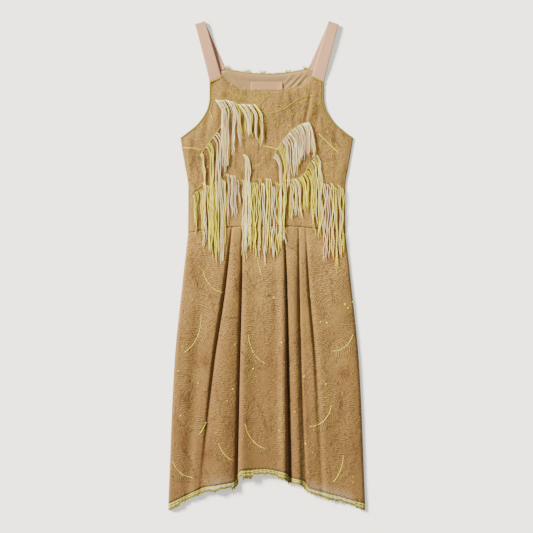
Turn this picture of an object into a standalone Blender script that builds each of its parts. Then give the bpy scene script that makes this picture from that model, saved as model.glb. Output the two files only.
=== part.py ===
"""A sleeveless lace midi dress, laid flat on its back with its front panel uppermost.

Metres, +Z up. +Y runs from hem to straps, +X to the viewer's right, and the surface that it
lies on is Z = 0. The tables below are in millimetres, as a pattern cutter would note them.
"""

import math
from collections import namedtuple

import bmesh
import bpy
import numpy as np
from mathutils import Vector

MM = 0.001

# Driving dimensions, in millimetres
CLOTH = 1.5  # lace with its lining
SHARPEST = 2.5  # most that a sharp fold may thicken the wall along its bisector
RIBBON = 1.0
TRIM = 1.2
GAP = 0.3  # between two pieces at a seam
HEM_GAP = 0.8  # the same gap measured down the cloth, where the hem slants at a pleat
WAIST_CENTRE = 100.0  # height of the waist seam at the centre front
WAIST_DROP = 18.0  # how far the seam falls to the side seams
WAIST_ARCH = 2.2  # power of the seam's curve: flat at the centre, steeper to the sides
HIP = -45.0
KNEE = -245.0
BODICE_RISE = 4.0  # how far the front bodice stands off the back one
SIDE_ROUNDING = 9.0  # how wide the front bodice rounds down to its side seams
ARM_ROUNDING = 20.0  # the same at the underarm, reached over the ARM_ZONE below it
ARM_ZONE = 45.0
TOP_ROUNDING = 20.0  # how deep it rounds down to its neckline
TOP_LOW = 0.6  # share of the rise that is lost there
FLATTEST = 0.1  # least that the front bodice stands off its floor
BINDING_WIDTH = 5.0
HEM_TRIM_WIDTH = 11.0
LABEL_WIDTH = 79.0
LABEL_HEIGHT = 20.0
LABEL_CENTRE_Y = 449.5
LABEL_CLOTH = 0.6
LABEL_COLUMNS = 4
STRAND = 1.6  # width of one lock of fringe
STRAND_SPACING = 4.8
SWAY = 0.4  # how far a lock wavers from a straight fall
UNEVEN = 0.16  # share of its length that the shortest lock lacks
SETTLING = 1.8  # fall in which a lock swings over, as a multiple of its swing
LOCK_CLEARANCE = 0.4  # between a lock and the cloth under it, beside the gap
ROOT_DIP = 0.8  # how much lower a lock starts, and how much for each layer
LAYER_DIP = 0.7
TURN_MARGIN = 4.0  # no bend of a lock lies nearer than this to its root's swing or its tip
BACKING_WIDTH = 3.0
BACKING = 1.0
BACKING_END = 2.0  # how far a backing runs on past its last locks
BACKING_SLANT = 0.3  # share by which its ends lean with the outline
LAYER_RISE = 2.6  # between one layer of fringe and the next
NECK_LASH = (2.5, 7.0)  # shortest and longest eyelashes of the neck edging
HEM_LASH = (0.0, 3.0)  # the same for the hem lace, beyond its width

FRONT_FLOOR = CLOTH + 0.4  # underside of the front panel at the side seams
LOWEST = -610.0  # lowest lace of the hem
FRONT_ROWS = 16  # grid of the front and back skirt
BACK_ROWS = 8
BACK_COLUMNS = 20
WIDE_COLUMN = 18.0  # two lines of the skirt further apart than this have a column between
FRONT_ACROSS = 19  # columns between the neck corners of the front and back bodice
BACK_ACROSS = 9
SHOULDER_COLUMNS = 3  # and outside them, up to the armhole
SIDE_ROWS = 7
ARM_ROWS = 12
ARM_SPREAD = 1.15  # power that sets the armhole's rows closer near the underarm

# Half widths of the flat garment, from waist to underarm and up the armhole's cut edge
Width = namedtuple("Width", "y half")
SIDE_SEAM = [
    Width(82, 197),
    Width(135, 196),
    Width(195, 196),
    Width(255, 205),
    Width(295, 212),
    Width(320, 216),
]
ARMHOLE = [
    Width(320, 216),
    Width(335, 196),
    Width(355, 172.5),
    Width(375, 157.5),
    Width(395, 147.5),
    Width(420, 143),
    Width(461, 143),
    Width(480, 131),
]

# The short sloping seam that carries a strap, from the neck corner to the armhole
Seam = namedtuple("Seam", "neck_x neck_y arm_x arm_y")
FRONT_SEAM = Seam(113, 473, 143, 460)
BACK_SEAM = Seam(102, 491, 131, 480)

# Necklines from the centre out, as shares of the neck corner's distance
Neck = namedtuple("Neck", "share y")
FRONT_NECK = [
    Neck(0, 435),
    Neck(0.27, 436),
    Neck(0.50, 440),
    Neck(0.68, 445),
    Neck(0.84, 454),
    Neck(0.93, 465),
    Neck(1, 473),
]
BACK_NECK = [Neck(0, 478), Neck(0.4, 480), Neck(0.72, 485), Neck(1, 491)]

# One row for each line of the front skirt, side seam to side seam: ridges, hollows and the
# folded edges of its pleats. x and z (the cloth's underside) are at waist, hip, knee and hem.
Line = namedtuple("Line", "name xw xh xk xe zw zh zk ze hem")
SKIRT = [
    Line("side_left", -196, -210, -230, -245, 1.9, 1.9, 1.9, 1.9, -592),
    Line("round_left", -191, -205, -224, -240, 5.5, 7.0, 8.0, 7.5, -589),
    Line("left_swell", -166, -184, -201, -217, 6.0, 9.0, 10.5, 10.0, -578),
    Line("left_dip", -141, -159, -178, -197, 5.5, 7.0, 7.0, 7.5, -569),
    Line("left_panel", -114, -134, -155, -181, 5.5, 9.5, 11.5, 11.5, -561),
    Line("pleat_a_outer", -93, -112, -141, -172, 6.0, 11.5, 13.0, 11.5, -557),
    Line("pleat_a", -87, -103, -132, -164, 3.5, 2.6, 5.0, 9.0, -553),
    Line("pleat_a_inner", -81, -95, -122, -152, 6.0, 11.5, 13.5, 12.0, -549),
    Line("left_pipe", -74, -84, -101, -114, 6.0, 13.5, 17.0, 18.0, -542),
    Line("pleat_b_outer", -66, -69, -75, -83, 6.0, 11.0, 13.0, 13.5, -536),
    Line("pleat_b", -60, -62, -67, -73, 3.5, 2.4, 2.4, 3.5, -526),
    Line("pleat_b_edge", -56, -58, -63, -68, 6.5, 12.5, 16.0, 16.0, -512),
    Line("centre_left", -49, -51, -55, -58, 6.5, 14.5, 19.5, 21.0, -506),
    Line("centre_fall", -29, -28, -30, -31, 6.0, 12.0, 14.5, 16.5, -505),
    Line("centre", -1, -1, -2, -2, 6.0, 12.8, 15.5, 16.5, -504),
    Line("centre_rise", 20, 22, 23, 24, 6.0, 12.0, 14.5, 16.5, -508),
    Line("centre_right", 34, 38, 40, 42, 6.5, 14.5, 19.5, 21.0, -511),
    Line("pleat_c_edge", 40, 44, 47, 50, 6.5, 13.0, 16.5, 16.5, -515),
    Line("pleat_c", 44, 48, 51, 56, 3.5, 2.4, 2.4, 3.0, -525),
    Line("pleat_c_outer", 50, 54, 59, 67, 6.0, 9.5, 11.5, 12.0, -528),
    Line("right_pipe", 63, 66, 71, 80, 6.0, 13.0, 15.5, 17.5, -530),
    Line("pleat_d_inner", 75, 75, 80, 90, 6.0, 10.5, 12.0, 12.5, -533),
    Line("pleat_d", 80, 81, 86, 98, 4.0, 4.5, 7.5, 10.0, -541),
    Line("pleat_d_outer", 86, 88, 95, 105, 6.0, 10.0, 12.0, 12.5, -551),
    Line("crease_e_inner", 92, 98, 113, 126, 6.0, 10.5, 13.0, 12.5, -558),
    Line("crease_e", 98, 105, 123, 139, 5.0, 5.0, 8.0, 10.5, -562),
    Line("crease_e_outer", 105, 116, 137, 151, 6.0, 10.0, 12.0, 12.0, -565),
    Line("right_panel", 134, 144, 166, 176, 5.5, 8.5, 10.0, 10.0, -571),
    Line("right_swell", 166, 179, 199, 211, 6.0, 9.0, 10.5, 9.5, -582),
    Line("round_right", 191, 205, 224, 240, 5.5, 7.0, 8.0, 7.5, -589),
    Line("side_right", 196, 210, 230, 245, 1.9, 1.9, 1.9, 1.9, -592),
]
# Soft creases of the front bodice: both ends, depth (down is negative) and half width
Crease = namedtuple("Crease", "x0 y0 x1 y1 depth half")
BODICE_CREASES = [
    Crease(-150, 385, -160, 290, -1.8, 9),
    Crease(-132, 395, -142, 300, 1.2, 10),
    Crease(108, 440, 88, 350, -2.0, 8),
    Crease(124, 445, 106, 345, 1.6, 9),
    Crease(133, 410, 122, 340, -1.5, 7),
    Crease(172, 345, 180, 290, -1.4, 9),
    Crease(-60, 215, -75, 110, -1.5, 14),
    Crease(20, 220, 26, 110, 1.3, 22),
    Crease(-130, 190, -135, 95, 1.2, 20),
    Crease(120, 190, 125, 95, 1.2, 20),
]
# The back hem, from the centre out
Hem = namedtuple("Hem", "x y")
BACK_HEM = [
    Hem(0, -498),
    Hem(60, -507),
    Hem(100, -528),
    Hem(140, -540),
    Hem(200, -565),
    Hem(246, -585),
]
# Hem lace that hangs lower than the rest: where it starts and ends, and how far it hangs
Tab = namedtuple("Tab", "x0 x1 drop")
HEM_TABS = [
    Tab(-246, -218, 7),
    Tab(-140, -118, 4),
    Tab(-88, -70, 6),
    Tab(-60, -34, 11),
    Tab(28, 56, 8),
    Tab(88, 104, 5),
    Tab(150, 176, 3),
    Tab(222, 246, 7),
]
# The left strap's ribbon between its two seams: both edges at each stage of the loop
Ribbon = namedtuple("Ribbon", "outer_x outer_y inner_x inner_y z")
STRAP = [
    Ribbon(-151.5, 497.0, -123.0, 507.0, 6.2),
    Ribbon(-165.0, 550.0, -139.0, 560.0, 8.0),
    Ribbon(-178.0, 599.0, -153.0, 608.0, 8.4),
    Ribbon(-179.4, 602.6, -154.4, 610.8, 7.0),
    Ribbon(-179.8, 603.2, -154.8, 611.4, 5.0),
    Ribbon(-179.2, 602.2, -154.2, 610.4, 3.0),
    Ribbon(-176.0, 594.0, -151.0, 603.0, 1.6),
    Ribbon(-156.0, 540.0, -129.0, 551.0, 1.3),
]
STRAP_FRONT_Z = 3.0
STRAP_BACK_Z = RIBBON + 0.05
# Fringed outlines on the front bodice: the layer, how far the locks swing to the right before
# they hang, and for each knot of the backing strip its place and how low the locks there hang
Knot = namedtuple("Knot", "x y tip")
Fringe = namedtuple("Fringe", "name layer colour swing knots")
FRINGES = [
    Fringe(
        "fringe_left_waist",
        0,
        "cream",
        4,
        [
            Knot(-184, 186, 90),
            Knot(-168, 197, 60),
            Knot(-150, 207, 30),
            Knot(-132, 214, 10),
            Knot(-114, 221, 0),
            Knot(-98, 225, 98),
            Knot(-86, 221, 112),
            Knot(-74, 219, 150),
        ],
    ),
    Fringe(
        "fringe_centre_waist",
        0,
        "yellow",
        4,
        [
            Knot(-62, 214, 16),
            Knot(-46, 208, 28),
            Knot(-20, 216, 8),
            Knot(0, 214, 12),
            Knot(18, 206, 4),
            Knot(40, 202, 50),
        ],
    ),
    Fringe(
        "fringe_right_waist",
        0,
        "pink",
        4,
        [
            Knot(132, 204, 50),
            Knot(146, 213, 2),
            Knot(160, 209, -14),
            Knot(176, 202, 10),
            Knot(188, 194, 28),
        ],
    ),
    Fringe(
        "fringe_left_slope",
        1,
        "cream",
        10,
        [
            Knot(-166, 276, 64),
            Knot(-152, 296, 58),
            Knot(-134, 320, 110),
            Knot(-120, 340, 200),
            Knot(-112, 352, 240),
        ],
    ),
    Fringe(
        "fringe_centre_lock",
        1,
        "cream",
        9,
        [Knot(-60, 278, 40), Knot(-55, 276, 24), Knot(-50, 272, 46)],
    ),
    Fringe(
        "fringe_right_arch",
        1,
        "yellow",
        11,
        [
            Knot(46, 214, 112),
            Knot(66, 216, 122),
            Knot(86, 222, 132),
            Knot(100, 240, 118),
            Knot(112, 260, 60),
            Knot(124, 274, 50),
        ],
    ),
    Fringe(
        "fringe_upper_left",
        2,
        "cream",
        18,
        [
            Knot(-128, 412, 236),
            Knot(-112, 414, 246),
            Knot(-94, 411, 300),
            Knot(-74, 404, 318),
            Knot(-54, 402, 312),
            Knot(-32, 402, 298),
        ],
    ),
    Fringe(
        "fringe_right_slope",
        2,
        "cream",
        14,
        [
            Knot(18, 270, 48),
            Knot(28, 294, 56),
            Knot(42, 316, 200),
            Knot(62, 337, 234),
            Knot(82, 352, 262),
            Knot(102, 358, 276),
        ],
    ),
]
COLOURS = {
    "lace": (0.47, 0.30, 0.13, 0.85),
    "lining": (0.55, 0.40, 0.24, 0.7),
    "ribbon": (0.70, 0.49, 0.38, 0.6),
    "binding": (0.38, 0.28, 0.06, 0.8),
    "edging": (0.52, 0.48, 0.14, 0.8),
    "label": (0.68, 0.46, 0.35, 0.6),
    "cream": (0.80, 0.73, 0.58, 0.6),
    "pink": (0.72, 0.56, 0.45, 0.6),
    "yellow": (0.70, 0.60, 0.18, 0.6),
}


def smooth_curve(knots, values):
    """A smooth function through the knots that rises and falls only where they do."""
    knots = np.asarray(knots, float)
    values = np.asarray(values, float)
    step = np.diff(knots)
    slope = np.diff(values) / step
    tangent = np.zeros_like(values)
    tangent[0], tangent[-1] = slope[0], slope[-1]
    for i in range(1, len(values) - 1):
        before, after = slope[i - 1], slope[i]
        if before * after > 0:
            near, far = 2 * step[i] + step[i - 1], step[i] + 2 * step[i - 1]
            tangent[i] = (near + far) / (near / before + far / after)

    def at(place):
        place = np.clip(place, knots[0], knots[-1])
        i = np.clip(np.searchsorted(knots, place) - 1, 0, len(step) - 1)
        t = (place - knots[i]) / step[i]
        ends = values[i] * (1 + 2 * t) * (1 - t) ** 2 + values[i + 1] * t * t * (3 - 2 * t)
        lean = tangent[i] * t * (1 - t) ** 2 + tangent[i + 1] * t * t * (t - 1)
        return ends + step[i] * lean

    return at


side_half = smooth_curve([w.y for w in SIDE_SEAM], [w.half for w in SIDE_SEAM])
arm_half = smooth_curve([w.y for w in ARMHOLE], [w.half for w in ARMHOLE])
front_neck = smooth_curve([n.share for n in FRONT_NECK], [n.y for n in FRONT_NECK])
back_neck = smooth_curve([n.share for n in BACK_NECK], [n.y for n in BACK_NECK])
back_hem = smooth_curve([h.x for h in BACK_HEM], [h.y for h in BACK_HEM])
WAIST_HALF = SIDE_SEAM[0].half
UNDERARM = SIDE_SEAM[-1].y


def waist_seam(x):
    """Height of the waist seam, which arches up at the centre."""
    return WAIST_CENTRE - WAIST_DROP * (abs(x) / WAIST_HALF) ** WAIST_ARCH


def on_seam(seam, x):
    """Height of a strap seam at x, carried on past its ends."""
    slope = (seam.neck_y - seam.arm_y) / (seam.arm_x - seam.neck_x)
    return seam.arm_y + (seam.arm_x - x) * slope


def armhole(seam, inward):
    """The armhole's edge moved inward, from the underarm up to the strap's seam."""
    corner = UNDERARM - inward
    points = [(float(side_half(corner)), corner)]
    for n in range(1, ARM_ROWS + 1):
        y = UNDERARM + (seam.arm_y - UNDERARM) * (n / ARM_ROWS) ** ARM_SPREAD
        here = Vector((float(arm_half(y)), y))
        ahead = Vector((float(arm_half(y - 0.5)) - here.x, -0.5)).normalized()
        x, y = here + Vector((ahead.y, -ahead.x)) * inward
        points.append((x, on_seam(seam, x) if n == ARM_ROWS else y))
    return points


def panel_edge(seam):
    """Outer edge of a bodice panel from waist to strap: side seam, then bound armhole."""
    arm = armhole(seam, BINDING_WIDTH + GAP)
    foot = waist_seam(WAIST_HALF)
    side = [foot + (arm[0][1] - foot) * n / SIDE_ROWS for n in range(SIDE_ROWS)]
    return [(float(side_half(y)), y) for y in side] + arm


FRONT_EDGE = panel_edge(FRONT_SEAM)
BACK_EDGE = panel_edge(BACK_SEAM)


def edge_half(edge, y):
    """Half width of a bodice panel at a height."""
    return float(np.interp(y, [p[1] for p in edge], [p[0] for p in edge]))


def crease_at(x, y):
    """What the soft creases add to the front bodice's height."""
    total = 0.0
    for c in BODICE_CREASES:
        start, end = Vector((c.x0, c.y0)), Vector((c.x1, c.y1))
        run = end - start
        t = min(max((Vector((x, y)) - start).dot(run) / run.length_squared, 0), 1)
        away = (Vector((x, y)) - start - run * t).length
        total += c.depth * math.exp(-((away / c.half) ** 2)) * math.sin(math.pi * (0.12 + 0.76 * t))
    return total


def bodice_height(x, y, half, top):
    """Underside of the front bodice: low at its edges and rounded up within them."""
    zone, widths = [UNDERARM - ARM_ZONE, UNDERARM], [SIDE_ROUNDING, ARM_ROUNDING]
    rounding = float(np.interp(y, zone, widths))
    from_side = 1 - math.exp(-((max(half - abs(x), 0) / rounding) ** 2))
    from_top = 1 - TOP_LOW * math.exp(-max(top - y, 0) / TOP_ROUNDING)
    swell = (BODICE_RISE + crease_at(x, y)) * from_side * from_top
    return FRONT_FLOOR + max(swell, FLATTEST)


def skirt_levels(line):
    """Heights of the waist, hip, knee and hem along one line of the skirt, lowest first."""
    return [line.hem, KNEE, HIP, waist_seam(line.xw) - GAP]


SKIRT_X = [smooth_curve(skirt_levels(s), [s.xe, s.xk, s.xh, s.xw]) for s in SKIRT]
SKIRT_Z = [smooth_curve(skirt_levels(s), [s.ze, s.zk, s.zh, s.zw]) for s in SKIRT]


def skirt_row(share, columns):
    """Points across the front skirt at a share of the way from waist (0) to hem (1)."""
    heights = [s[-1] + (s[0] - s[-1]) * share for s in map(skirt_levels, SKIRT)]
    count = range(len(SKIRT))
    xs = smooth_curve(count, [SKIRT_X[k](heights[k]) for k in count])
    zs = smooth_curve(count, [SKIRT_Z[k](heights[k]) for k in count])
    ys = smooth_curve(count, heights)
    return [(float(xs(c)), float(ys(c)), float(zs(c))) for c in columns]


FRINGED = 0.3  # share of the skirt's length that the fringe reaches down to
SAMPLE = 6.0
DRAPE_STEP_X = 12.0
DRAPE_STEP_Y = 45.0


def front_samples():
    """Points all over the underside of the front, from the fringe's lowest tip upwards."""
    across = np.arange(0, len(SKIRT) - 0.9, 0.25)
    points = [p for share in np.linspace(0, FRINGED, 14) for p in skirt_row(share, across)]
    for y in np.arange(WAIST_CENTRE - WAIST_DROP + 2, FRONT_NECK[0].y + 5, SAMPLE):
        half = edge_half(FRONT_EDGE, y)
        for x in np.arange(-half, half + 1, SAMPLE):
            if y > waist_seam(x):
                points.append((x, y, bodice_height(x, y, half, FRONT_NECK[0].y)))
    return np.array(points)


DRAPE_X = np.arange(-216, 217, DRAPE_STEP_X)
DRAPE_Y = np.arange(-75, 460, DRAPE_STEP_Y)


def drape_heights():
    """Highest cloth round each point of an even grid, which bridges creases and pleats."""
    x, y, z = front_samples().T
    heights = np.full((len(DRAPE_X), len(DRAPE_Y)), FRONT_FLOOR)
    for i, column in enumerate(DRAPE_X):
        for j, row in enumerate(DRAPE_Y):
            near = (abs(x - column) <= DRAPE_STEP_X + 1) & (abs(y - row) <= DRAPE_STEP_Y + 1)
            if near.any():
                heights[i, j] = z[near].max()
    return heights + CLOTH


DRAPE_Z = drape_heights()


def drape(x, y):
    """Height at which a lock lies on the front."""
    rows = [np.interp(y, DRAPE_Y, heights) for heights in DRAPE_Z]
    return float(np.interp(x, DRAPE_X, rows))


def material(name):
    """A plain Principled material of the cloth's colour."""
    if name in bpy.data.materials:
        return bpy.data.materials[name]
    *colour, rough = COLOURS[name]
    made = bpy.data.materials.new(name)
    made.use_nodes = True
    shader = made.node_tree.nodes["Principled BSDF"]
    shader.inputs["Base Color"].default_value = (*colour, 1)
    shader.inputs["Roughness"].default_value = rough
    shader.inputs["Metallic"].default_value = 0
    return made


def add_object(name, mesh, colour):
    mesh.materials.append(material(colour))
    made = bpy.data.objects.new(name, mesh)
    garment.objects.link(made)
    return made


def sheet(name, columns, rows, place, thickness, colour, kept=None):
    """A sheet of cloth: a grid whose points place() puts, given its wall at right angles.

    Two pieces sewn to each other can share one grid, so that their walls agree at the seam:
    kept is the first and last row of this piece.
    """
    work = bmesh.new()
    bmesh.ops.create_grid(work, x_segments=columns, y_segments=rows, size=0.5)
    first, last = kept or (0, rows)
    cut = [f for f in work.faces if not first < (f.calc_center_median().y + 0.5) * rows < last]
    for v in work.verts:
        column, row = round((v.co.x + 0.5) * columns), round((v.co.y + 0.5) * rows)
        v.co = Vector(place(column, row)) * MM
    work.normal_update()
    wall = work.verts.layers.float_vector.new("wall")
    for v in work.verts:
        v[wall] = v.normal * min(v.calc_shell_factor(), SHARPEST) * thickness * MM
    bmesh.ops.delete(work, geom=cut, context="FACES")
    raised = bmesh.ops.extrude_face_region(work, geom=list(work.faces))["geom"]
    for v in raised:
        if isinstance(v, bmesh.types.BMVert):
            v.co += v[wall]
    bmesh.ops.recalc_face_normals(work, faces=work.faces)
    mesh = bpy.data.meshes.new(name)
    work.to_mesh(mesh)
    work.free()
    mesh.attributes.remove(mesh.attributes["wall"])
    add_object(name, mesh, colour)


def strip(name, inner, outer, thickness, colour):
    """A narrow sheet between two lines of points with as many points each."""
    lines = (outer, inner)
    sheet(name, len(inner) - 1, 1, lambda column, row: lines[row][column], thickness, colour)


def panel_shares(edge, seam, count):
    """Column positions from side to side, with a column on each neck corner."""
    corner = seam.neck_x / edge[-1][0]
    inside = np.linspace(-corner, corner, count)
    outside = np.linspace(corner, 1, SHOULDER_COLUMNS + 1)[1:]
    return [*(-outside[::-1]), *inside, *outside]


def top_edge(edge, seam, neck, share):
    """Height of a bodice's top edge: the neckline, then the slope that carries the strap."""
    x = abs(share) * edge[-1][0]
    if x < seam.neck_x:
        return float(neck(x / seam.neck_x))
    return on_seam(seam, x)


def bodice(name, edge, seam, neck, count, height, colour):
    """A bodice panel, whose rows run level with the points of its outer edge."""
    shares = panel_shares(edge, seam, count)
    low, high = edge[0][1], edge[-1][1]

    def place(column, row):
        share = shares[column]
        up = (edge[row][1] - low) / (high - low)
        foot = waist_seam(share * WAIST_HALF)
        top = top_edge(edge, seam, neck, share)
        y = foot + (top - foot) * up
        x = share * edge_half(edge, y)
        return x, y, height(x, y, edge_half(edge, y), top)

    sheet(name, len(shares) - 1, len(edge) - 1, place, CLOTH, colour)


def flat_height(x, y, half, top):
    return 0.0


def make_bodice():
    """Front and back bodice, which lie on each other and part at the neck."""
    front, back = (FRONT_EDGE, FRONT_SEAM, front_neck), (BACK_EDGE, BACK_SEAM, back_neck)
    bodice("bodice_front", *front, FRONT_ACROSS, bodice_height, "lace")
    bodice("bodice_back", *back, BACK_ACROSS, flat_height, "lining")


def split(points, parts):
    """A run of points with every stretch cut into equal parts."""
    cut = []
    for here, there in zip(points, points[1:]):
        for n in range(parts):
            cut.append(Vector(here).lerp(Vector(there), n / parts))
    return cut + [Vector(points[-1])]


def skirt_columns():
    """Positions across the skirt: each line, and halfway where two lie far apart."""
    columns = []
    for k in range(len(SKIRT) - 1):
        wide = SKIRT[k + 1].xh - SKIRT[k].xh > WIDE_COLUMN
        columns += [k, k + 0.5] if wide else [k]
    return columns + [len(SKIRT) - 1]


def lash(n, low, high):
    """An uneven lace edge: the length of its n-th eyelash, between low and high."""
    wave = 0.5 + 0.3 * math.sin(n * 2.4) + 0.2 * math.sin(n * 5.3 + 1)
    return low + (high - low) * wave


def tab_drop(x):
    """How much lower than its line the hem lace hangs at x."""
    return max([t.drop for t in HEM_TABS if t.x0 <= x <= t.x1] + [0])


def hem_trim_rows(hem):
    """The trim's sewn edge and its uneven lace edge, below a hem line."""
    sewn = [(x, y - HEM_GAP, z) for x, y, z in hem]
    tips = []
    for n, (x, y, z) in enumerate(sewn):
        drop = HEM_TRIM_WIDTH + lash(n, *HEM_LASH) + tab_drop(x)
        tips.append((x, max(y - drop, LOWEST), z))
    return [tips, sewn]


def make_skirt():
    """Front and back skirt, each with a banded lace trim along its hem."""
    columns = skirt_columns()
    front = [skirt_row(1 - r / FRONT_ROWS, columns) for r in range(FRONT_ROWS + 1)]
    back = []
    for r in range(BACK_ROWS + 1):
        row = []
        for share in np.linspace(-1, 1, BACK_COLUMNS + 1):
            foot = float(back_hem(abs(share) * SKIRT[-1].xe))
            top = waist_seam(share * WAIST_HALF) - GAP
            y = foot + (top - foot) * r / BACK_ROWS
            row.append((share * float(SKIRT_X[-1](y)), y, 0.0))
        back.append(row)
    for face, rows in (("front", front), ("back", back)):
        rows = hem_trim_rows(rows[0]) + rows
        across, last = len(rows[0]) - 1, len(rows) - 1

        def place(column, row, rows=rows):
            return rows[row][column]

        sheet(f"skirt_{face}", across, last, place, CLOTH, "lace", kept=(2, last))
        sheet(f"hem_trim_{face}", across, last, place, CLOTH, "edging", kept=(0, 1))


def make_bindings():
    """A bound strip round each armhole, in a front and a back length joined under the arm."""
    for face, seam, height in (("front", FRONT_SEAM, FRONT_FLOOR), ("back", BACK_SEAM, 0.0)):
        outer = armhole(seam, 0)
        inner = armhole(seam, BINDING_WIDTH)
        for side, hand in ((-1, "left"), (1, "right")):
            outside = [(side * x, y, height) for x, y in outer]
            inside = [(side * x, y, height) for x, y in inner]
            first, second = (outside, inside) if side < 0 else (inside, outside)
            strip(f"armhole_binding_{face}_{hand}", first, second, CLOTH, "binding")


def neck_line(edge, seam, neck, count, height):
    """The points of a bodice panel's neckline."""
    line = []
    for share in panel_shares(edge, seam, count)[SHOULDER_COLUMNS:-SHOULDER_COLUMNS]:
        top = top_edge(edge, seam, neck, share)
        x = share * edge[-1][0]
        line.append((x, top, height(x, top, edge[-1][0], top)))
    return line


def make_neck_edging():
    """Eyelash edging along the front and back necklines."""
    front = neck_line(FRONT_EDGE, FRONT_SEAM, front_neck, FRONT_ACROSS, bodice_height)
    back = neck_line(BACK_EDGE, BACK_SEAM, back_neck, BACK_ACROSS, flat_height)
    for face, line, parts in (("front", front, 2), ("back", back, 4)):
        sewn = [p + Vector((0, GAP, 0)) for p in split(line, parts)]
        tips = [p + Vector((0, lash(n, *NECK_LASH), 0)) for n, p in enumerate(sewn)]
        strip(f"neck_edging_{face}", tips, sewn, TRIM, "edging")


def make_straps():
    """Two loops of ribbon, each from the front neck corner over to the back one."""
    front, back = FRONT_SEAM, BACK_SEAM
    start = Ribbon(-front.arm_x, front.arm_y, -front.neck_x, front.neck_y, STRAP_FRONT_Z)
    end = Ribbon(-back.arm_x, back.arm_y, -back.neck_x, back.neck_y, STRAP_BACK_Z)
    start = start._replace(outer_y=start.outer_y + GAP, inner_y=start.inner_y + GAP)
    end = end._replace(outer_y=end.outer_y + GAP, inner_y=end.inner_y + GAP)
    stages = [start, *STRAP, end]
    curves = [smooth_curve(range(len(stages)), values) for values in zip(*stages)]
    for side, hand in ((1, "left"), (-1, "right")):
        outer, inner = [], []
        for s in np.arange(0, len(stages) - 0.9, 0.5):
            ox, oy, ix, iy, z = (float(c(s)) for c in curves)
            outer.append((side * ox, oy, z))
            inner.append((side * ix, iy, z))
        first, second = (outer, inner) if side > 0 else (inner, outer)
        strip(f"strap_{hand}", first, second, RIBBON, "ribbon")


def make_label():
    """A woven label on the inside of the back neck."""
    base = CLOTH + GAP
    half_width, half_height = LABEL_WIDTH / 2, LABEL_HEIGHT / 2

    def place(column, row):
        x = half_width * (2 * column / LABEL_COLUMNS - 1)
        return x, LABEL_CENTRE_Y + half_height * (2 * row - 1), base

    sheet("label", LABEL_COLUMNS, 1, place, LABEL_CLOTH, "label")


def strand_path(x, y, tip, fringe, number):
    """Centre line of one lock: out of its backing, over to the right, and down."""
    lift = GAP + BACKING + LOCK_CLEARANCE + STRAND / 2 + fringe.layer * LAYER_RISE
    settled = SETTLING * fringe.swing
    wave = SWAY * math.sin(number * 1.9)
    lowest, highest = tip + TURN_MARGIN, y - settled - TURN_MARGIN
    below = [y - row for row in DRAPE_Y[::-1] if lowest < row < highest]
    path = []
    for drop in [2, settled * 0.45, settled, *below, y - tip]:
        turned = 1 - min(drop / settled, 1)
        across = x + fringe.swing * (1 - turned**2) + wave * math.sin(2.6 * drop / (y - tip))
        rise = lift if path else lift - ROOT_DIP - fringe.layer * LAYER_DIP
        path.append(Vector((across, y - drop, drape(across, y - drop) + rise)))
    return path


def grow_strand(work, face, path):
    """Extrudes one face of the backing along the path, keeping its section square to it."""
    points = [p * MM for p in path]
    centre = face.calc_center_median()
    tangent, wide, deep = Vector((0, 0, 1)), Vector((1, 0, 0)), Vector((0, 1, 0))
    half = STRAND / 2 * MM
    corners = [(-half, -half), (half, -half), (half, half), (-half, half)]

    def misfit(turn):
        pairs = zip(face.verts, corners[turn:] + corners[:turn])
        return sum((v.co - centre - Vector((a, b, 0))).length for v, (a, b) in pairs)

    turn = min(range(4), key=misfit)
    corners = corners[turn:] + corners[:turn]
    for n, here in enumerate(points):
        before = points[n - 1] if n else centre
        after = points[min(n + 1, len(points) - 1)]
        heading = (after - before).normalized()
        bend = tangent.rotation_difference(heading)
        wide, deep, tangent = bend @ wide, bend @ deep, heading
        face = bmesh.ops.extrude_discrete_faces(work, faces=[face])["faces"][0]
        for v, (a, b) in zip(face.verts, corners):
            v.co = here + wide * a + deep * b


def make_fringe(fringe):
    """A backing strip along one embroidered outline, with its locks of thread."""
    xs = [k.x for k in fringe.knots]
    line = smooth_curve(xs, [k.y for k in fringe.knots])
    tips = smooth_curve(xs, [k.tip for k in fringe.knots])
    count = max(3, int((xs[-1] - xs[0]) / STRAND_SPACING))
    roots = np.linspace(xs[0], xs[-1], count)
    half = STRAND / 2
    ends = [xs[0] - BACKING_END]
    for root in roots:
        ends += [root - half, root + half]
    ends.append(xs[-1] + BACKING_END)
    cells = len(ends) - 1
    work = bmesh.new()
    bmesh.ops.create_grid(work, x_segments=cells, y_segments=1, size=0.5)
    for v in work.verts:
        x = ends[round((v.co.x + 0.5) * cells)]
        lean = (float(line(x + 1)) - float(line(x - 1))) / 2
        across = Vector((-lean, 1)).normalized() * BACKING_WIDTH * v.co.y
        spot = Vector((x, float(line(x)))) + Vector((across.x * BACKING_SLANT, across.y))
        v.co = Vector((spot.x, spot.y, drape(spot.x, spot.y) + GAP)) * MM
    bottom = list(work.faces)
    grown = bmesh.ops.extrude_face_region(work, geom=bottom)["geom"]
    tops = [g for g in grown if isinstance(g, bmesh.types.BMFace)]
    for v in {v for f in tops for v in f.verts}:
        v.co.z += BACKING * MM
    bmesh.ops.recalc_face_normals(work, faces=work.faces)
    tops.sort(key=lambda f: f.calc_center_median().x)
    for number, root in enumerate(roots):
        face = tops[2 * number + 1]
        y = float(line(root))
        length = 1 - UNEVEN * (0.5 + 0.5 * math.sin(number * 2.7 + fringe.layer))
        tip = y - (y - float(tips(root))) * length
        grow_strand(work, face, strand_path(root, y, tip, fringe, number))
    mesh = bpy.data.meshes.new(fringe.name)
    bmesh.ops.recalc_face_normals(work, faces=work.faces)
    work.to_mesh(mesh)
    work.free()
    add_object(fringe.name, mesh, fringe.colour)


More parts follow.
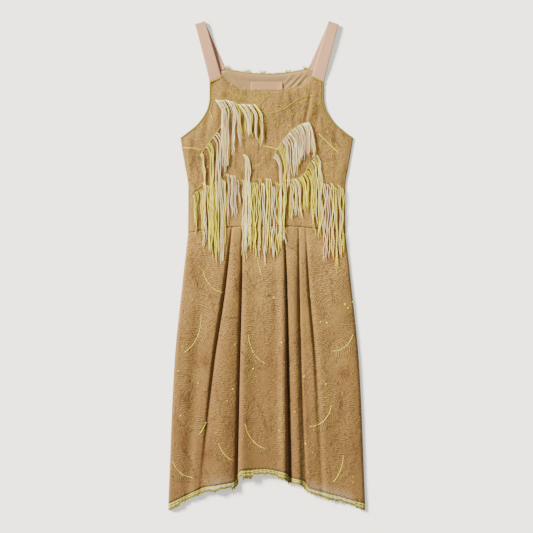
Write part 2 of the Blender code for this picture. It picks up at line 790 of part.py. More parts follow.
for old in list(bpy.data.objects):
    bpy.data.objects.remove(old)
garment = bpy.data.collections.new("lace_midi_dress")
bpy.context.scene.collection.children.link(garment)

make_bodice()
make_skirt()
make_bindings()
make_neck_edging()
make_straps()
make_label()
for fringe in FRINGES:
    make_fringe(fringe)
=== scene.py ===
import math
import random

import bmesh
import bpy
import numpy as np
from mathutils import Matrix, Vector
from mathutils.bvhtree import BVHTree


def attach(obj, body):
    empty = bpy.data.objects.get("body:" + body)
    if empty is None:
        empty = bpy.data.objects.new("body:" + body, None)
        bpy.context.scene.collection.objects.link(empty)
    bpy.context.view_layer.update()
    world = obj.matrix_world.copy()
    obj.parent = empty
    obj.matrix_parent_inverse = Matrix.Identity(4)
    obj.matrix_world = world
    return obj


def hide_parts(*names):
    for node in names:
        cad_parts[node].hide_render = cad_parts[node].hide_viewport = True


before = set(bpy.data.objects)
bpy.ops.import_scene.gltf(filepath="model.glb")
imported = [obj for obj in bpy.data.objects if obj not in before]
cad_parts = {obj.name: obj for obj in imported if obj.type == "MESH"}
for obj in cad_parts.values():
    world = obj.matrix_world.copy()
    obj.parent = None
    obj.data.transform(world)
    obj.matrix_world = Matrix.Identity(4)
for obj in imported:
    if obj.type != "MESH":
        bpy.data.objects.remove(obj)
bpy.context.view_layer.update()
mm = 0.001
chance = random.Random(7)

# camera
cameraSettings = {
    "lens": 85,
    "sensor": 36,
    "frameWidth": 1.3325,  # metres from side to side of the picture
    "centre": (-0.0006, -0.0012),
    "clipEnd": 20,
}


def makeCamera(settings):
    camera = bpy.data.cameras.new("overheadCamera")
    camera.lens = settings["lens"]
    camera.sensor_width = settings["sensor"]
    camera.sensor_fit = "HORIZONTAL"
    camera.clip_end = settings["clipEnd"]
    holder = bpy.data.objects.new("overheadCamera", camera)
    height = settings["frameWidth"] * settings["lens"] / settings["sensor"]
    holder.location = (*settings["centre"], height)
    bpy.context.scene.collection.objects.link(holder)
    bpy.context.scene.camera = holder


makeCamera(cameraSettings)

# tools


def linearColour(hexText):
    parts = [int(hexText[n : n + 2], 16) / 255 for n in (1, 3, 5)]
    return [c / 12.92 if c <= 0.04045 else ((c + 0.055) / 1.055) ** 2.4 for c in parts] + [1.0]


def addNode(tree, kind, values=None, links=None, out=0, **settings):
    # one shader node with its settings, socket values and incoming links; gives one output
    node = tree.nodes.new("ShaderNode" + kind)
    for key, value in settings.items():
        setattr(node, key, value)
    for key, value in (values or {}).items():
        node.inputs[key].default_value = value
    for key, source in (links or {}).items():
        tree.links.new(source, node.inputs[key])
    return node.outputs[out]


def startMaterial(name, roughness, sheen=0.0, sheenTint="#ffffff", specular=0.35):
    made = bpy.data.materials.new(name)
    made.use_nodes = True
    shader = made.node_tree.nodes["Principled BSDF"]
    plain = {
        "Roughness": roughness,
        "Metallic": 0.0,
        "Specular IOR Level": specular,
        "Sheen Weight": sheen,
        "Sheen Roughness": 0.5,
        "Sheen Tint": linearColour(sheenTint),
    }
    for key, value in plain.items():
        shader.inputs[key].default_value = value
    return made, made.node_tree, shader


def finishMaterial(tree, shader, colour, rough, height, strength, depth):
    # links what varies over the surface; depth is the raised pattern's, in metres
    bump = addNode(tree, "Bump", {"Strength": strength, "Distance": depth}, {"Height": height})
    for key, source in (("Base Color", colour), ("Roughness", rough), ("Normal", bump)):
        tree.links.new(source, shader.inputs[key])


def smoothCurve(knots, values):
    # smooth through the knots, rising and falling only where they do
    knots = np.asarray(knots, float)
    values = np.asarray(values, float)
    step = np.diff(knots)
    slope = np.diff(values) / step
    tangent = np.zeros_like(values)
    tangent[0], tangent[-1] = slope[0], slope[-1]
    for i in range(1, len(values) - 1):
        before, after = slope[i - 1], slope[i]
        if before * after > 0:
            near, far = 2 * step[i] + step[i - 1], step[i] + 2 * step[i - 1]
            tangent[i] = (near + far) / (near / before + far / after)

    def at(place):
        place = np.clip(place, knots[0], knots[-1])
        i = np.clip(np.searchsorted(knots, place) - 1, 0, len(step) - 1)
        t = (place - knots[i]) / step[i]
        ends = values[i] * (1 + 2 * t) * (1 - t) ** 2 + values[i + 1] * t * t * (3 - 2 * t)
        lean = tangent[i] * t * (1 - t) ** 2 + tangent[i + 1] * t * t * (t - 1)
        return ends + step[i] * lean

    return at


def finishPiece(name, mesh, materials, nodes=()):
    for material in materials:
        mesh.materials.append(material)
    piece = bpy.data.objects.new(name, mesh)
    bpy.context.scene.collection.objects.link(piece)
    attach(piece, "root")
    if nodes:
        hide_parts(*nodes)
    return piece


def gridPiece(name, spots, material, nodes=(), wall=1.2, marks=None):
    # a cloth panel: a grid laid on spots (rows, columns, 3) in mm, with its wall raised on top;
    # UV is across and along, and marks are numbers for each point that its material reads
    rows, columns = spots.shape[0] - 1, spots.shape[1] - 1
    work = bmesh.new()
    bmesh.ops.create_grid(work, x_segments=columns, y_segments=rows, size=0.5)
    sides = np.array([v.co.xy for v in work.verts]) + 0.5
    column = np.rint(sides[:, 0] * columns).astype(int)
    row = np.rint(sides[:, 1] * rows).astype(int)
    places = spots[row, column] * mm
    for v, place in zip(work.verts, places):
        v.co = place
    uv = work.loops.layers.uv.new("cut")
    for face in work.faces:
        for loop in face.loops:
            n = loop.vert.index
            loop[uv].uv = sides[n]
    for face in work.faces:
        face.smooth = True
    mesh = bpy.data.meshes.new(name)
    work.to_mesh(mesh)
    work.free()
    for key, values in (marks or {}).items():
        layer = mesh.attributes.new(key, "FLOAT", "POINT")
        layer.data.foreach_set("value", np.ascontiguousarray(values[row, column], np.float32))
    piece = finishPiece(name, mesh, [material], nodes)
    if wall:
        thicken = piece.modifiers.new("wall", "SOLIDIFY")
        thicken.thickness = wall * mm
        thicken.offset = 1
        thicken.use_even_offset = False
    return piece


def threadPiece(name, threads, materials, nodes=()):
    # threads are (points in mm, radius in mm, finish number): bevelled curves kept as one mesh
    curve = bpy.data.curves.new(name, "CURVE")
    curve.dimensions = "3D"
    curve.bevel_depth = mm
    curve.bevel_resolution = 0
    curve.use_fill_caps = True
    for material in materials:
        curve.materials.append(material)
    for points, radius, finish in threads:
        spline = curve.splines.new("POLY")
        spline.points.add(len(points) - 1)
        for n, (spot, point) in enumerate(zip(spline.points, points)):
            spot.co = (point[0] * mm, point[1] * mm, point[2] * mm, 1)
            spot.radius = radius * (1 if n < len(points) - 1 else 0.6)
        spline.material_index = finish
    holder = bpy.data.objects.new(name, curve)
    mesh = bpy.data.meshes.new_from_object(holder)
    bpy.data.objects.remove(holder)
    bpy.data.curves.remove(curve)
    work = bmesh.new()
    work.from_mesh(mesh)
    bmesh.ops.recalc_face_normals(work, faces=work.faces)
    work.to_mesh(mesh)
    work.free()
    mesh.name = name
    return finishPiece(name, mesh, [], nodes)


# bodice shape, as the frame has it (mm)
bodice = {
    "side": [(82, 197), (135, 196), (195, 196), (255, 205), (295, 212), (320, 216)],
    "armhole": [
        (320, 216), (335, 196), (355, 172.5), (375, 157.5), (395, 147.5), (420, 143), (461, 143),
        (480, 131),
    ],
    "frontSeam": (113, 473, 143, 460),
    "backSeam": (102, 491, 131, 480),
    "frontNeck": [
        (0, 435), (0.27, 436), (0.5, 440), (0.68, 445), (0.84, 454), (0.93, 465), (1, 473),
    ],
    "backNeck": [(0, 478), (0.4, 480), (0.72, 485), (1, 491)],
    "waistCentre": 100.0,
    "waistDrop": 18.0,
    "waistHalf": 197.0,
    "underarm": 320.0,
    "bindingWidth": 5.0,
    "seamGap": 0.3,
    "rise": 4.0,
    "leastRise": 0.1,
    "floor": 1.9,
    # width of the rounded sides, below and at the underarm, and how far up it grows
    "rounding": (9, 20),
    "roundingRise": 45,
    # the share by which it sinks at the neck and how soon; the waist's dip and half width
    "neckDip": (0.6, 20),
    "waistDip": (1.6, 2.2),
    # soft creases: both ends, depth and half width
    "creases": [
        (-146, 400, -156, 310, -2.6, 6), (-132, 395, -142, 300, 1.2, 10),
        (112, 445, 92, 335, -3.2, 5), (122, 445, 104, 345, 1.6, 8), (130, 415, 124, 350, -2.6, 5),
        (174, 362, 166, 305, -2.4, 4.5), (-60, 215, -75, 110, -1.5, 14),
        (20, 220, 26, 110, 1.3, 22), (-130, 190, -135, 95, 1.2, 20), (120, 190, 125, 95, 1.2, 20),
    ],
}
sideHalf = smoothCurve(*zip(*bodice["side"]))
armHalf = smoothCurve(*zip(*bodice["armhole"]))
frontNeck = smoothCurve(*zip(*bodice["frontNeck"]))
backNeck = smoothCurve(*zip(*bodice["backNeck"]))


def waistSeam(x):
    return bodice["waistCentre"] - bodice["waistDrop"] * (np.abs(x) / bodice["waistHalf"]) ** 2.2


def onSeam(seam, x):
    neckX, neckY, armX, armY = seam
    return armY + (armX - x) * (neckY - armY) / (armX - neckX)


def armholeLine(seam, inward, count=60):
    # the armhole's edge moved inward, from the underarm up to the strap's seam
    under = bodice["underarm"]
    points = [(float(sideHalf(under - inward)), under - inward)]
    for n in range(1, count + 1):
        y = under + (seam[3] - under) * (n / count) ** 1.15
        here = Vector((float(armHalf(y)), y))
        ahead = Vector((float(armHalf(y - 0.5)) - here.x, -0.5)).normalized()
        x, y = here + Vector((ahead.y, -ahead.x)) * inward
        points.append((x, onSeam(seam, x) if n == count else y))
    return points


def panelEdge(seam):
    arm = armholeLine(seam, bodice["bindingWidth"] + bodice["seamGap"])
    foot = float(waistSeam(bodice["waistHalf"]))
    side = [foot + (arm[0][1] - foot) * n / 50 for n in range(50)]
    return np.array([(float(sideHalf(y)), y) for y in side] + arm)


def creaseHeight(x, y, creases):
    total = np.zeros_like(x)
    for x0, y0, x1, y1, depth, half in creases:
        runX, runY = x1 - x0, y1 - y0
        t = np.clip(((x - x0) * runX + (y - y0) * runY) / (runX**2 + runY**2), 0, 1)
        away = np.hypot(x - x0 - runX * t, y - y0 - runY * t)
        total += depth * np.exp(-((away / half) ** 2)) * np.sin(math.pi * (0.12 + 0.76 * t))
    return total


# soft lie of the lace: height, then length, sway and the sway's length of two crossed waves
ripples = [(0.35, 13, 1.7, 41, 29, 1.1, 35), (0.16, 4.6, 2.2, 17, 6.8, 1.0, 9)]


def softRipples(x, y):
    total = 0.0
    for height, longX, swayX, everyX, longY, swayY, everyY in ripples:
        across = np.sin(x / longX + swayX * np.sin(y / everyX))
        total = total + height * across * np.sin(y / longY + swayY * np.sin(x / everyY))
    return total


def seamDip(x, y):
    # the cloth dips towards the waist seam
    depth, half = bodice["waistDip"]
    return depth * np.exp(-((y - waistSeam(x)) / half) ** 2)


def bodiceHeight(x, y, half, top):
    under = bodice["underarm"]
    rounding = np.interp(y, [under - bodice["roundingRise"], under], bodice["rounding"])
    fromSide = 1 - np.exp(-((np.maximum(half - np.abs(x), 0) / rounding) ** 2))
    dip, fade = bodice["neckDip"]
    fromTop = 1 - dip * np.exp(-np.maximum(top - y, 0) / fade)
    swell = bodice["rise"] + creaseHeight(x, y, bodice["creases"]) + softRipples(x, y)
    raised = np.maximum(swell * fromSide * fromTop - seamDip(x, y), bodice["leastRise"])
    return bodice["floor"] + raised


def panelSpots(seam, neck, across, height):
    # rows run level with the points of the outer edge; columns meet the neck's corners
    edge = panelEdge(seam)
    corner = seam[0] / edge[-1][0]
    outside = np.linspace(corner, 1, 11)[1:]
    shares = np.concatenate([-outside[::-1], np.linspace(-corner, corner, across), outside])
    low, high = edge[0][1], edge[-1][1]
    topX = np.abs(shares) * edge[-1][0]
    top = np.where(topX < seam[0], neck(topX / seam[0]), onSeam(seam, topX))
    foot = waistSeam(shares * bodice["waistHalf"])
    up = ((edge[:, 1] - low) / (high - low))[:, None]
    y = foot + (top - foot) * up
    half = np.interp(y, edge[:, 1], edge[:, 0])
    x = shares * half
    return np.stack([x, y, height(x, y, half, top)], axis=-1)


# skirt shape, as the frame has it (mm)
skirt = {
    "hip": -45.0,
    "knee": -245.0,
    "columnsEach": 5,
    "rows": 180,
    # rows close together at the waist seam, as shares of the way down
    "seamRows": [0, 0.0014, 0.003, 0.005, 0.008, 0.012],
    "evenFrom": 0.017,
    # height above which the cloth starts to ripple, and over how much
    "softFrom": (2.0, 4.0),
    # from side seam to side seam: x at waist, hip, knee and hem, then the underside's height
    # at the same four, then the height of the hem
    "lines": [
        (-196, -210, -230, -245, 1.9, 1.9, 1.9, 1.9, -592),
        (-191, -205, -224, -240, 5.5, 7.0, 8.0, 7.5, -589),
        (-166, -184, -201, -217, 6.0, 9.0, 10.5, 10.0, -578),
        (-141, -159, -178, -197, 5.5, 7.0, 7.0, 7.5, -569),
        (-114, -134, -155, -181, 5.5, 9.5, 11.5, 11.5, -561),
        (-93, -112, -141, -172, 6.0, 11.5, 13.0, 11.5, -557),
        (-87, -103, -132, -164, 3.5, 2.8, 6.4, 10.3, -553),
        (-81, -95, -122, -152, 6.0, 11.5, 13.5, 12.0, -549),
        (-74, -84, -101, -114, 6.0, 13.5, 17.0, 18.0, -542),
        (-66, -69, -75, -83, 6.0, 11.0, 13.0, 13.5, -536),
        (-60, -62, -67, -73, 3.5, 2.4, 2.4, 3.5, -526),
        (-56, -58, -63, -68, 6.5, 12.5, 16.0, 16.0, -512),
        (-49, -51, -55, -58, 6.5, 14.5, 19.5, 21.0, -506),
        (-29, -28, -30, -31, 6.0, 12.0, 14.5, 16.5, -505),
        (-1, -1, -2, -2, 6.0, 12.8, 15.5, 16.5, -504),
        (20, 22, 23, 24, 6.0, 12.0, 14.5, 16.5, -508),
        (34, 38, 40, 42, 6.5, 14.5, 19.5, 21.0, -511),
        (40, 44, 47, 50, 6.5, 13.0, 16.5, 16.5, -515),
        (44, 48, 51, 56, 3.5, 2.4, 2.4, 3.0, -525),
        (50, 54, 59, 67, 6.0, 9.5, 11.5, 12.0, -528),
        (63, 66, 71, 80, 6.0, 13.0, 15.5, 17.5, -530),
        (75, 75, 80, 90, 6.0, 10.5, 12.0, 12.5, -533),
        (80, 81, 86, 98, 4.0, 4.5, 7.5, 10.0, -541),
        (86, 88, 95, 105, 6.0, 10.0, 12.0, 12.5, -551),
        (92, 98, 113, 126, 6.0, 10.5, 13.0, 12.5, -558),
        (98, 105, 123, 139, 5.0, 5.0, 8.0, 10.5, -562),
        (105, 116, 137, 151, 6.0, 10.0, 12.0, 12.0, -565),
        (134, 144, 166, 176, 5.5, 8.5, 10.0, 10.0, -571),
        (166, 179, 199, 211, 6.0, 9.0, 10.5, 9.5, -582),
        (191, 205, 224, 240, 5.5, 7.0, 8.0, 7.5, -589),
        (196, 210, 230, 245, 1.9, 1.9, 1.9, 1.9, -592),
    ],
    "backHem": [(0, -498), (60, -507), (100, -528), (140, -540), (200, -565), (246, -585)],
}
backHem = smoothCurve(*zip(*skirt["backHem"]))


def skirtLevels(line):
    # the heights up the dress that a line's values are for, from hem to waist
    return [line[8], skirt["knee"], skirt["hip"], float(waistSeam(line[0])) - bodice["seamGap"]]


def skirtSpots(shares, columns):
    # points of the front skirt at shares of the way from waist (0) to hem (1)
    lines = skirt["lines"]
    xs, ys, zs = [], [], []
    for line in lines:
        levels = skirtLevels(line)
        y = levels[3] + (levels[0] - levels[3]) * shares
        xs.append(smoothCurve(levels, line[3::-1])(y))
        zs.append(smoothCurve(levels, line[7:3:-1])(y))
        ys.append(y)
    count = np.arange(len(lines))
    rows = []
    for r in range(len(shares)):
        spot = [smoothCurve(count, [v[r] for v in values])(columns) for values in (xs, ys, zs)]
        rows.append(np.stack(spot, axis=-1))
    spots = np.array(rows)
    x, y, z = spots[..., 0], spots[..., 1], spots[..., 2]
    low, reach = skirt["softFrom"]
    inner = np.clip((z - low) / reach, 0, 1)
    z += softRipples(x, y) * inner
    spots[..., 2] = np.maximum(z - seamDip(x, y) * inner, bodice["floor"])
    return spots


def sideOfSkirt(y):
    line = skirt["lines"][-1]
    return smoothCurve(skirtLevels(line), line[3::-1])(y)


# lace chart: leaves of the lace, each with a bent stem and barbs (mm, degrees)
lace = {
    "barbSpacing": 5.8,  # real barbs are about 3 mm apart; drawn coarser so that they show
    "barbLean": 0.25,
    "barbBend": 0.011,
    "stemHalf": 5,
    # barbs lie closer on the bodice, above this height
    "bodiceBarbs": 0.78,
    "bodiceFrom": 120,
    # base x, base y, heading, length, bend, half width
    "leaves": [
        (-155, 60, -100, 150, 61, 42), (-172, -60, -79, 170, -47, 45),
        (-40, -110, -99, 150, 51, 45), (222, -120, -92, 125, -65, 42),
        (-52, -320, -97, 155, 54, 45), (-125, -380, -91, 120, 47, 36),
        (-245, -440, -82, 115, 54, 38), (-140, -310, -92, 120, -27, 38),
        (160, -290, -83, 140, -68, 42), (188, -420, -84, 125, -34, 40), (-31, 60, -80, 140, 10, 40),
        (-95, 30, -95, 130, -20, 36), (-90, -130, -85, 140, 25, 38),
        (-100, -250, -100, 125, 20, 36), (30, -30, -85, 140, -30, 42), (60, -190, -95, 140, 25, 40),
        (40, -330, -80, 140, -25, 40), (110, 20, -85, 140, 35, 42), (130, -130, -80, 130, -30, 40),
        (90, -420, -95, 110, 30, 36), (180, 30, -95, 150, -20, 42), (-215, -270, -90, 140, 25, 40),
        (230, -290, -95, 140, -20, 40), (-120, 430, -70, 90, 40, 26), (-60, 395, -110, 80, -30, 26),
        (10, 420, -80, 90, 35, 28), (70, 400, -60, 80, 40, 26), (120, 330, -55, 90, 30, 30),
        (-160, 330, -95, 100, 25, 30), (0, 320, -100, 90, -35, 30), (60, 300, -70, 80, 30, 26),
        (-40, 240, -85, 90, 30, 28), (-120, 280, -80, 90, -30, 28), (165, 240, -100, 90, -35, 28),
        (95, 200, -90, 80, 30, 28), (-170, 190, -85, 90, 30, 28),
    ],
    # smaller leaves fill the ground between, on a jittered grid (mm, degrees)
    "fillers": {
        "seed": 3,
        "spacing": 62,
        "across": (-260, 290),
        "along": (-600, 520),
        "shift": (-14, 14),
        "rise": (20, 50),
        "lean": (-40, 40),
        "length": (60, 105),
        "bend": (18, 55),
        "half": (20, 30),
        "strength": 0.62,
    },
    # darker openwork, where the lining shows through: x, y, width, height
    "openPatches": [
        (-73, -52, 8, 26), (17, -100, 4, 24), (43, -222, 6, 14), (96, -300, 6, 42),
        (101, -400, 6, 44), (-210, -330, 10, 26), (-50, -385, 6, 14), (-184, -8, 6, 18),
        (-150, -470, 14, 12), (-208, -440, 12, 34), (-197, -330, 9, 20), (-153, -239, 11, 16),
        (182, -344, 9, 40), (190, -267, 12, 12), (-60, -30, 9, 16), (58, -230, 7, 18),
    ],
    # lighter, sheerer lace above the hem trim: x from, x to, then its height
    "sheerHem": [(-154, -79), (100, 221)],
    "sheerHeight": 26,
    # share of yellow yarn: on the skirt, at most, and how it grows up the bodice
    "yarn": {"least": 0.3, "most": 0.8, "from": 60, "over": 300},
}

# painted shade of the folds: heights in mm, reach in columns of the skirt's grid, and shares
folds = {
    "creaseDeep": 2.2,
    "creaseStart": 0.2,
    "reach": 14,
    "start": 2.0,
    "deep": 7.0,
    "spread": 0.85,
    "litMiddle": -8,
    "litHalf": 47,
    "litSpread": 0.45,
}


def scatterLeaves(settings):
    # a jittered grid of small leaves that lie under the large ones
    pick = random.Random(settings["seed"])
    step = settings["spacing"]
    leaves = []
    for n, y in enumerate(range(*settings["along"], step)):
        for x in range(*settings["across"], step):
            bend = pick.uniform(*settings["bend"]) * pick.choice((-1, 1))
            baseX = x + (n % 2) * step / 2 + pick.uniform(*settings["shift"])
            baseY = y + pick.uniform(*settings["rise"])
            heading = -90 + pick.uniform(*settings["lean"])
            length = pick.uniform(*settings["length"])
            half = pick.uniform(*settings["half"])
            leaves.append((baseX, baseY, heading, length, bend, half, settings["strength"]))
    return leaves


def valleyShade(spots):
    # how much painted shade each point gets, by how deep it lies in a fold, from 0 on the open
    # cloth to 1
    x, y, z = spots[..., 0], spots[..., 1], spots[..., 2]
    if y.max() > bodice["waistCentre"]:
        deep = -creaseHeight(x, y, bodice["creases"]) / folds["creaseDeep"]
        return np.clip(deep - folds["creaseStart"], 0, 1)
    reach = folds["reach"]
    padded = np.pad(z, ((0, 0), (reach, reach)), mode="edge")
    around = np.max([padded[:, n : n + z.shape[1]] for n in range(2 * reach + 1)], axis=0)
    shade = np.clip((around - z - folds["start"]) / folds["deep"], 0, 1)
    # the painted shade fades out on both sides, and lies more lightly over the lit centre panel
    spread = shade.copy()
    for n in range(1, reach):
        fade = folds["spread"] * (1 - n / reach)
        spread[:, n:] = np.maximum(spread[:, n:], shade[:, :-n] * fade)
        spread[:, :-n] = np.maximum(spread[:, :-n], shade[:, n:] * fade)
    lit = np.abs(x - folds["litMiddle"]) < folds["litHalf"]
    return np.where(lit, np.maximum(shade, folds["litSpread"] * spread), spread)


def leafMarks(spots):
    # for each point of a lace panel: barb phase, leaf mask, openness, sheerness, the folds' painted
    # shade and the share of yellow yarn
    x, y = spots[..., 0], spots[..., 1]
    phase, mask, openness, sheer = np.zeros((4, *x.shape))
    leaves = scatterLeaves(lace["fillers"]) + [(*leaf, 1.0) for leaf in lace["leaves"]]
    for baseX, baseY, heading, length, bend, half, strength in leaves:
        turn, start = math.radians(bend), math.radians(heading)
        radius = length / turn
        centreX = baseX - radius * math.sin(start)
        centreY = baseY + radius * math.cos(start)
        fromCentre = np.hypot(x - centreX, y - centreY)
        angle = np.arctan2(y - centreY, x - centreX) - math.atan2(baseY - centreY, baseX - centreX)
        angle = (angle + math.pi) % (2 * math.pi) - math.pi
        along = angle * radius
        away = np.abs(fromCentre - abs(radius))
        share = np.clip(along / length, 0, 1)
        # widest in its middle, with a blunt base and a soft outline
        width = half * np.sin(math.pi * (0.1 + 0.86 * share)) ** 0.7
        inside = np.clip((1 - away / width) * 5, 0, 1)
        inside = inside * np.clip(along / 6 + 1, 0, 1) * np.clip((length - along) / 6 + 1, 0, 1)
        # barbs leave the stem squarely and bend towards the tip
        spread = np.sqrt(away**2 + lace["stemHalf"] ** 2) - lace["stemHalf"]
        closer = lace["bodiceBarbs"] if baseY > lace["bodiceFrom"] else 1
        spacing = lace["barbSpacing"] * closer
        barb = (along - lace["barbLean"] * spread - lace["barbBend"] * spread**2) / spacing
        better = inside * strength > mask
        phase = np.where(better, barb + 0.37 * baseX, phase)
        mask = np.maximum(mask, inside * strength)
    for patchX, patchY, width, height in lace["openPatches"]:
        away = ((x - patchX) / width) ** 2 + ((y - patchY) / height) ** 2
        openness = np.maximum(openness, np.exp(-away))
    hem = np.interp(x, [line[3] for line in skirt["lines"]], [line[8] for line in skirt["lines"]])
    above = np.clip(1 - (y - hem) / lace["sheerHeight"], 0, 1)
    for x0, x1 in lace["sheerHem"]:
        sheer += np.clip((x - x0) / 10, 0, 1) * np.clip((x1 - x) / 10, 0, 1) * above
    yarn = lace["yarn"]
    yarnShare = yarn["least"] + (y - yarn["from"]) / yarn["over"]
    return {
        "barbPhase": phase,
        "leafMask": np.clip(mask * 1.25, 0, 1),
        "openness": openness,
        "sheerness": sheer,
        "foldShade": valleyShade(spots),
        "yarnShare": np.clip(yarnShare, yarn["least"], yarn["most"]),
    }


# dyes, as sRGB hex
dyes = {
    "laceCord": "#9b773b",
    "laceGround": "#906d34",
    "laceShade": "#472d0b",
    "laceOpen": "#4a240c",
    "paintedShadeBrown": "#5c3a15",
    "laceSheer": "#917a58",
    "liningLight": "#987a47",
    "liningDark": "#7c5e32",
    "ribbonLight": "#bb8f6b",
    "ribbonDark": "#a37551",
    "bindingLight": "#7a680a",
    "bindingDark": "#4d3d08",
    "edgingBright": "#aca43f",
    "edgingMid": "#6d5e1d",
    "edgingDark": "#1e1404",
    "edgingSheer": "#9e9474",
    "edgingLow": "#594b16",
    "labelLight": "#ab8357",
    "labelDark": "#8f643d",
    "creamThread": "#ffe8ac",
    "creamShade": "#b88f46",
    "roseThread": "#fcd0a6",
    "roseShade": "#9c744c",
    "yellowThread": "#ecde30",
    "yellowShade": "#84721a",
    "limeThread": "#ab9914",
    "limeShade": "#665807",
    "floorLight": "#faf6e9",
    "floorDark": "#f7f2e5",
    "skyLight": "#f4f5f7",
}
dye = {name: linearColour(code) for name, code in dyes.items()}


# scales of the lace's patterns, per metre: 1000 divided by one is its size in mm
laceScales = {
    "sway": 60,
    "breaks": 130,
    "net": 380,  # its real holes are 1.2 mm, drawn 2.6 mm so that they show
    "twist": 700,
    "patches": 14,
    "streaks": 85,
    "pricks": 115,
    "flecks": 70,
    "openwork": 210,
}


def makeLace(scales):
    # corded cotton lace on a toning lining: matt raised cords in leaves over a fine net
    made, tree, shader = startMaterial("cordedLace", 0.85, 0.2, "#ecd9b4", 0.2)
    place = addNode(tree, "TexCoord", out="Object")
    names = ["barbPhase", "leafMask", "openness", "sheerness", "foldShade", "yarnShare"]
    marks = {}
    for name in names + ["paintedFringeShade"]:
        marks[name] = addNode(tree, "Attribute", attribute_name=name, out="Fac")
    # cords follow the leaves' barbs, sway a little and break off here and there
    wobble = addNode(tree, "TexNoise", {"Scale": scales["sway"], "Detail": 2}, {0: place})
    sway = addNode(tree, "Math", {1: 1.1}, {0: wobble}, operation="MULTIPLY")
    phase = addNode(tree, "Math", {}, {0: marks["barbPhase"], 1: sway}, operation="ADD")
    turned = addNode(tree, "Math", {1: 2 * math.pi}, {0: phase}, operation="MULTIPLY")
    wave = addNode(tree, "Math", {}, {0: turned}, operation="SINE")
    span = {1: -0.95, 2: -0.1}
    ridge = addNode(tree, "MapRange", span, {0: wave}, interpolation_type="SMOOTHSTEP")
    broken = addNode(tree, "TexNoise", {"Scale": scales["breaks"], "Detail": 3}, {0: place})
    kept = addNode(tree, "MapRange", {1: 0.4, 2: 0.56}, {0: broken})
    worn = addNode(tree, "Math", {}, {0: marks["leafMask"], 1: kept}, operation="MULTIPLY")
    cords = addNode(tree, "Math", {}, {0: ridge, 1: worn}, operation="MULTIPLY")
    groove = addNode(tree, "Math", {}, {0: worn, 1: cords}, operation="SUBTRACT")
    # the net shows wherever no cord lies
    values = {"Scale": scales["net"]}
    net = addNode(tree, "TexVoronoi", values, {0: place}, feature="DISTANCE_TO_EDGE")
    mesh = addNode(tree, "MapRange", {1: 0.02, 2: 0.2, 3: 1.0, 4: 0.0}, {0: net})
    netPart = addNode(tree, "Math", {1: 0.45}, {0: mesh}, operation="MULTIPLY")
    relief = addNode(tree, "Math", {}, {0: cords, 1: netPart}, operation="MAXIMUM")
    twist = addNode(tree, "TexNoise", {"Scale": scales["twist"], "Detail": 2}, {0: place})
    height = addNode(tree, "Math", {1: 0.35}, {0: twist, 2: relief}, operation="MULTIPLY_ADD")
    # painted shade: the grooves between the cords are darkened
    sunk = addNode(tree, "Math", {1: 0.8}, {0: groove}, operation="MULTIPLY")
    # cloudy patches, and painted shade that darkens the lace from the waist down to the hem
    patchy = addNode(tree, "TexNoise", {"Scale": scales["patches"], "Detail": 4}, {0: place})
    shade = addNode(tree, "MapRange", {1: 0.35, 2: 0.75, 3: 0.0, 4: 0.4}, {0: patchy})
    upward = addNode(tree, "SeparateXYZ", {}, {0: place}, out=1)
    low = addNode(tree, "MapRange", {1: 0.0, 2: -0.5, 3: 0.0, 4: 0.48}, {0: upward})
    # painted shade: streaks from top to bottom on the bodice's lace, about 12 mm apart
    drawn = addNode(tree, "Mapping", {"Scale": (1.0, 0.22, 1.0)}, {0: place})
    streak = addNode(tree, "TexNoise", {"Scale": scales["streaks"], "Detail": 3}, {0: drawn})
    span = {1: 0.3, 2: 0.6, 3: 0.0, 4: 0.6}
    upper = addNode(tree, "MapRange", span, {0: marks["yarnShare"]})
    dark = addNode(tree, "MapRange", {1: 0.5, 2: 0.68, 3: 0.0, 4: 1.0}, {0: streak})
    paintedStreakShade = addNode(tree, "Math", {}, {0: dark, 1: upper}, operation="MULTIPLY")
    # small openings of the net, about 2.5 mm wide and 9 mm apart
    holes = addNode(tree, "TexVoronoi", {"Scale": scales["pricks"]}, {0: place})
    pricks = addNode(tree, "MapRange", {1: 0.08, 2: 0.22, 3: 0.9, 4: 0.0}, {0: holes})
    # flecks of the yellow yarn, about 3 mm wide, in one cell of three and more on the bodice
    cells = addNode(tree, "TexVoronoi", {"Scale": scales["flecks"]}, {0: place}).node.outputs
    near = addNode(tree, "MapRange", {1: 0.06, 2: 0.2, 3: 0.8, 4: 0.0}, {0: cells[0]})
    lot = addNode(tree, "SeparateColor", {}, {0: cells[1]})
    likely = addNode(tree, "Math", {}, {0: lot, 1: marks["yarnShare"]}, operation="LESS_THAN")
    fleck = addNode(tree, "Math", {}, {0: near, 1: likely}, operation="MULTIPLY")
    # openwork: small dark openings in columns, 5 mm apart
    mapped = addNode(tree, "Mapping", {"Scale": (1.0, 0.7, 1.0)}, {0: place})
    dots = addNode(tree, "TexVoronoi", {"Scale": scales["openwork"]}, {0: mapped})
    speckle = addNode(tree, "MapRange", {1: 0.3, 2: 0.6, 3: 1.0, 4: 0.45}, {0: dots})
    gaps = addNode(tree, "Math", {}, {0: speckle, 1: marks["openness"]}, operation="MULTIPLY")
    # a dotted line of openings runs round each leaf
    rim = addNode(tree, "MapRange", {1: 0.05, 2: 0.3}, {0: marks["leafMask"]})
    span = {1: 0.4, 2: 0.62, 3: 0.8, 4: 0.0}
    within = addNode(tree, "MapRange", span, {0: marks["leafMask"]})
    around = addNode(tree, "Math", {}, {0: rim, 1: within}, operation="MULTIPLY")
    spots = addNode(tree, "MapRange", {1: 0.2, 2: 0.42, 3: 1.0, 4: 0.0}, {0: dots})
    dotted = addNode(tree, "Math", {}, {0: around, 1: spots}, operation="MULTIPLY")
    thin = addNode(tree, "Math", {1: 0.6}, {0: marks["sheerness"]}, operation="MULTIPLY")
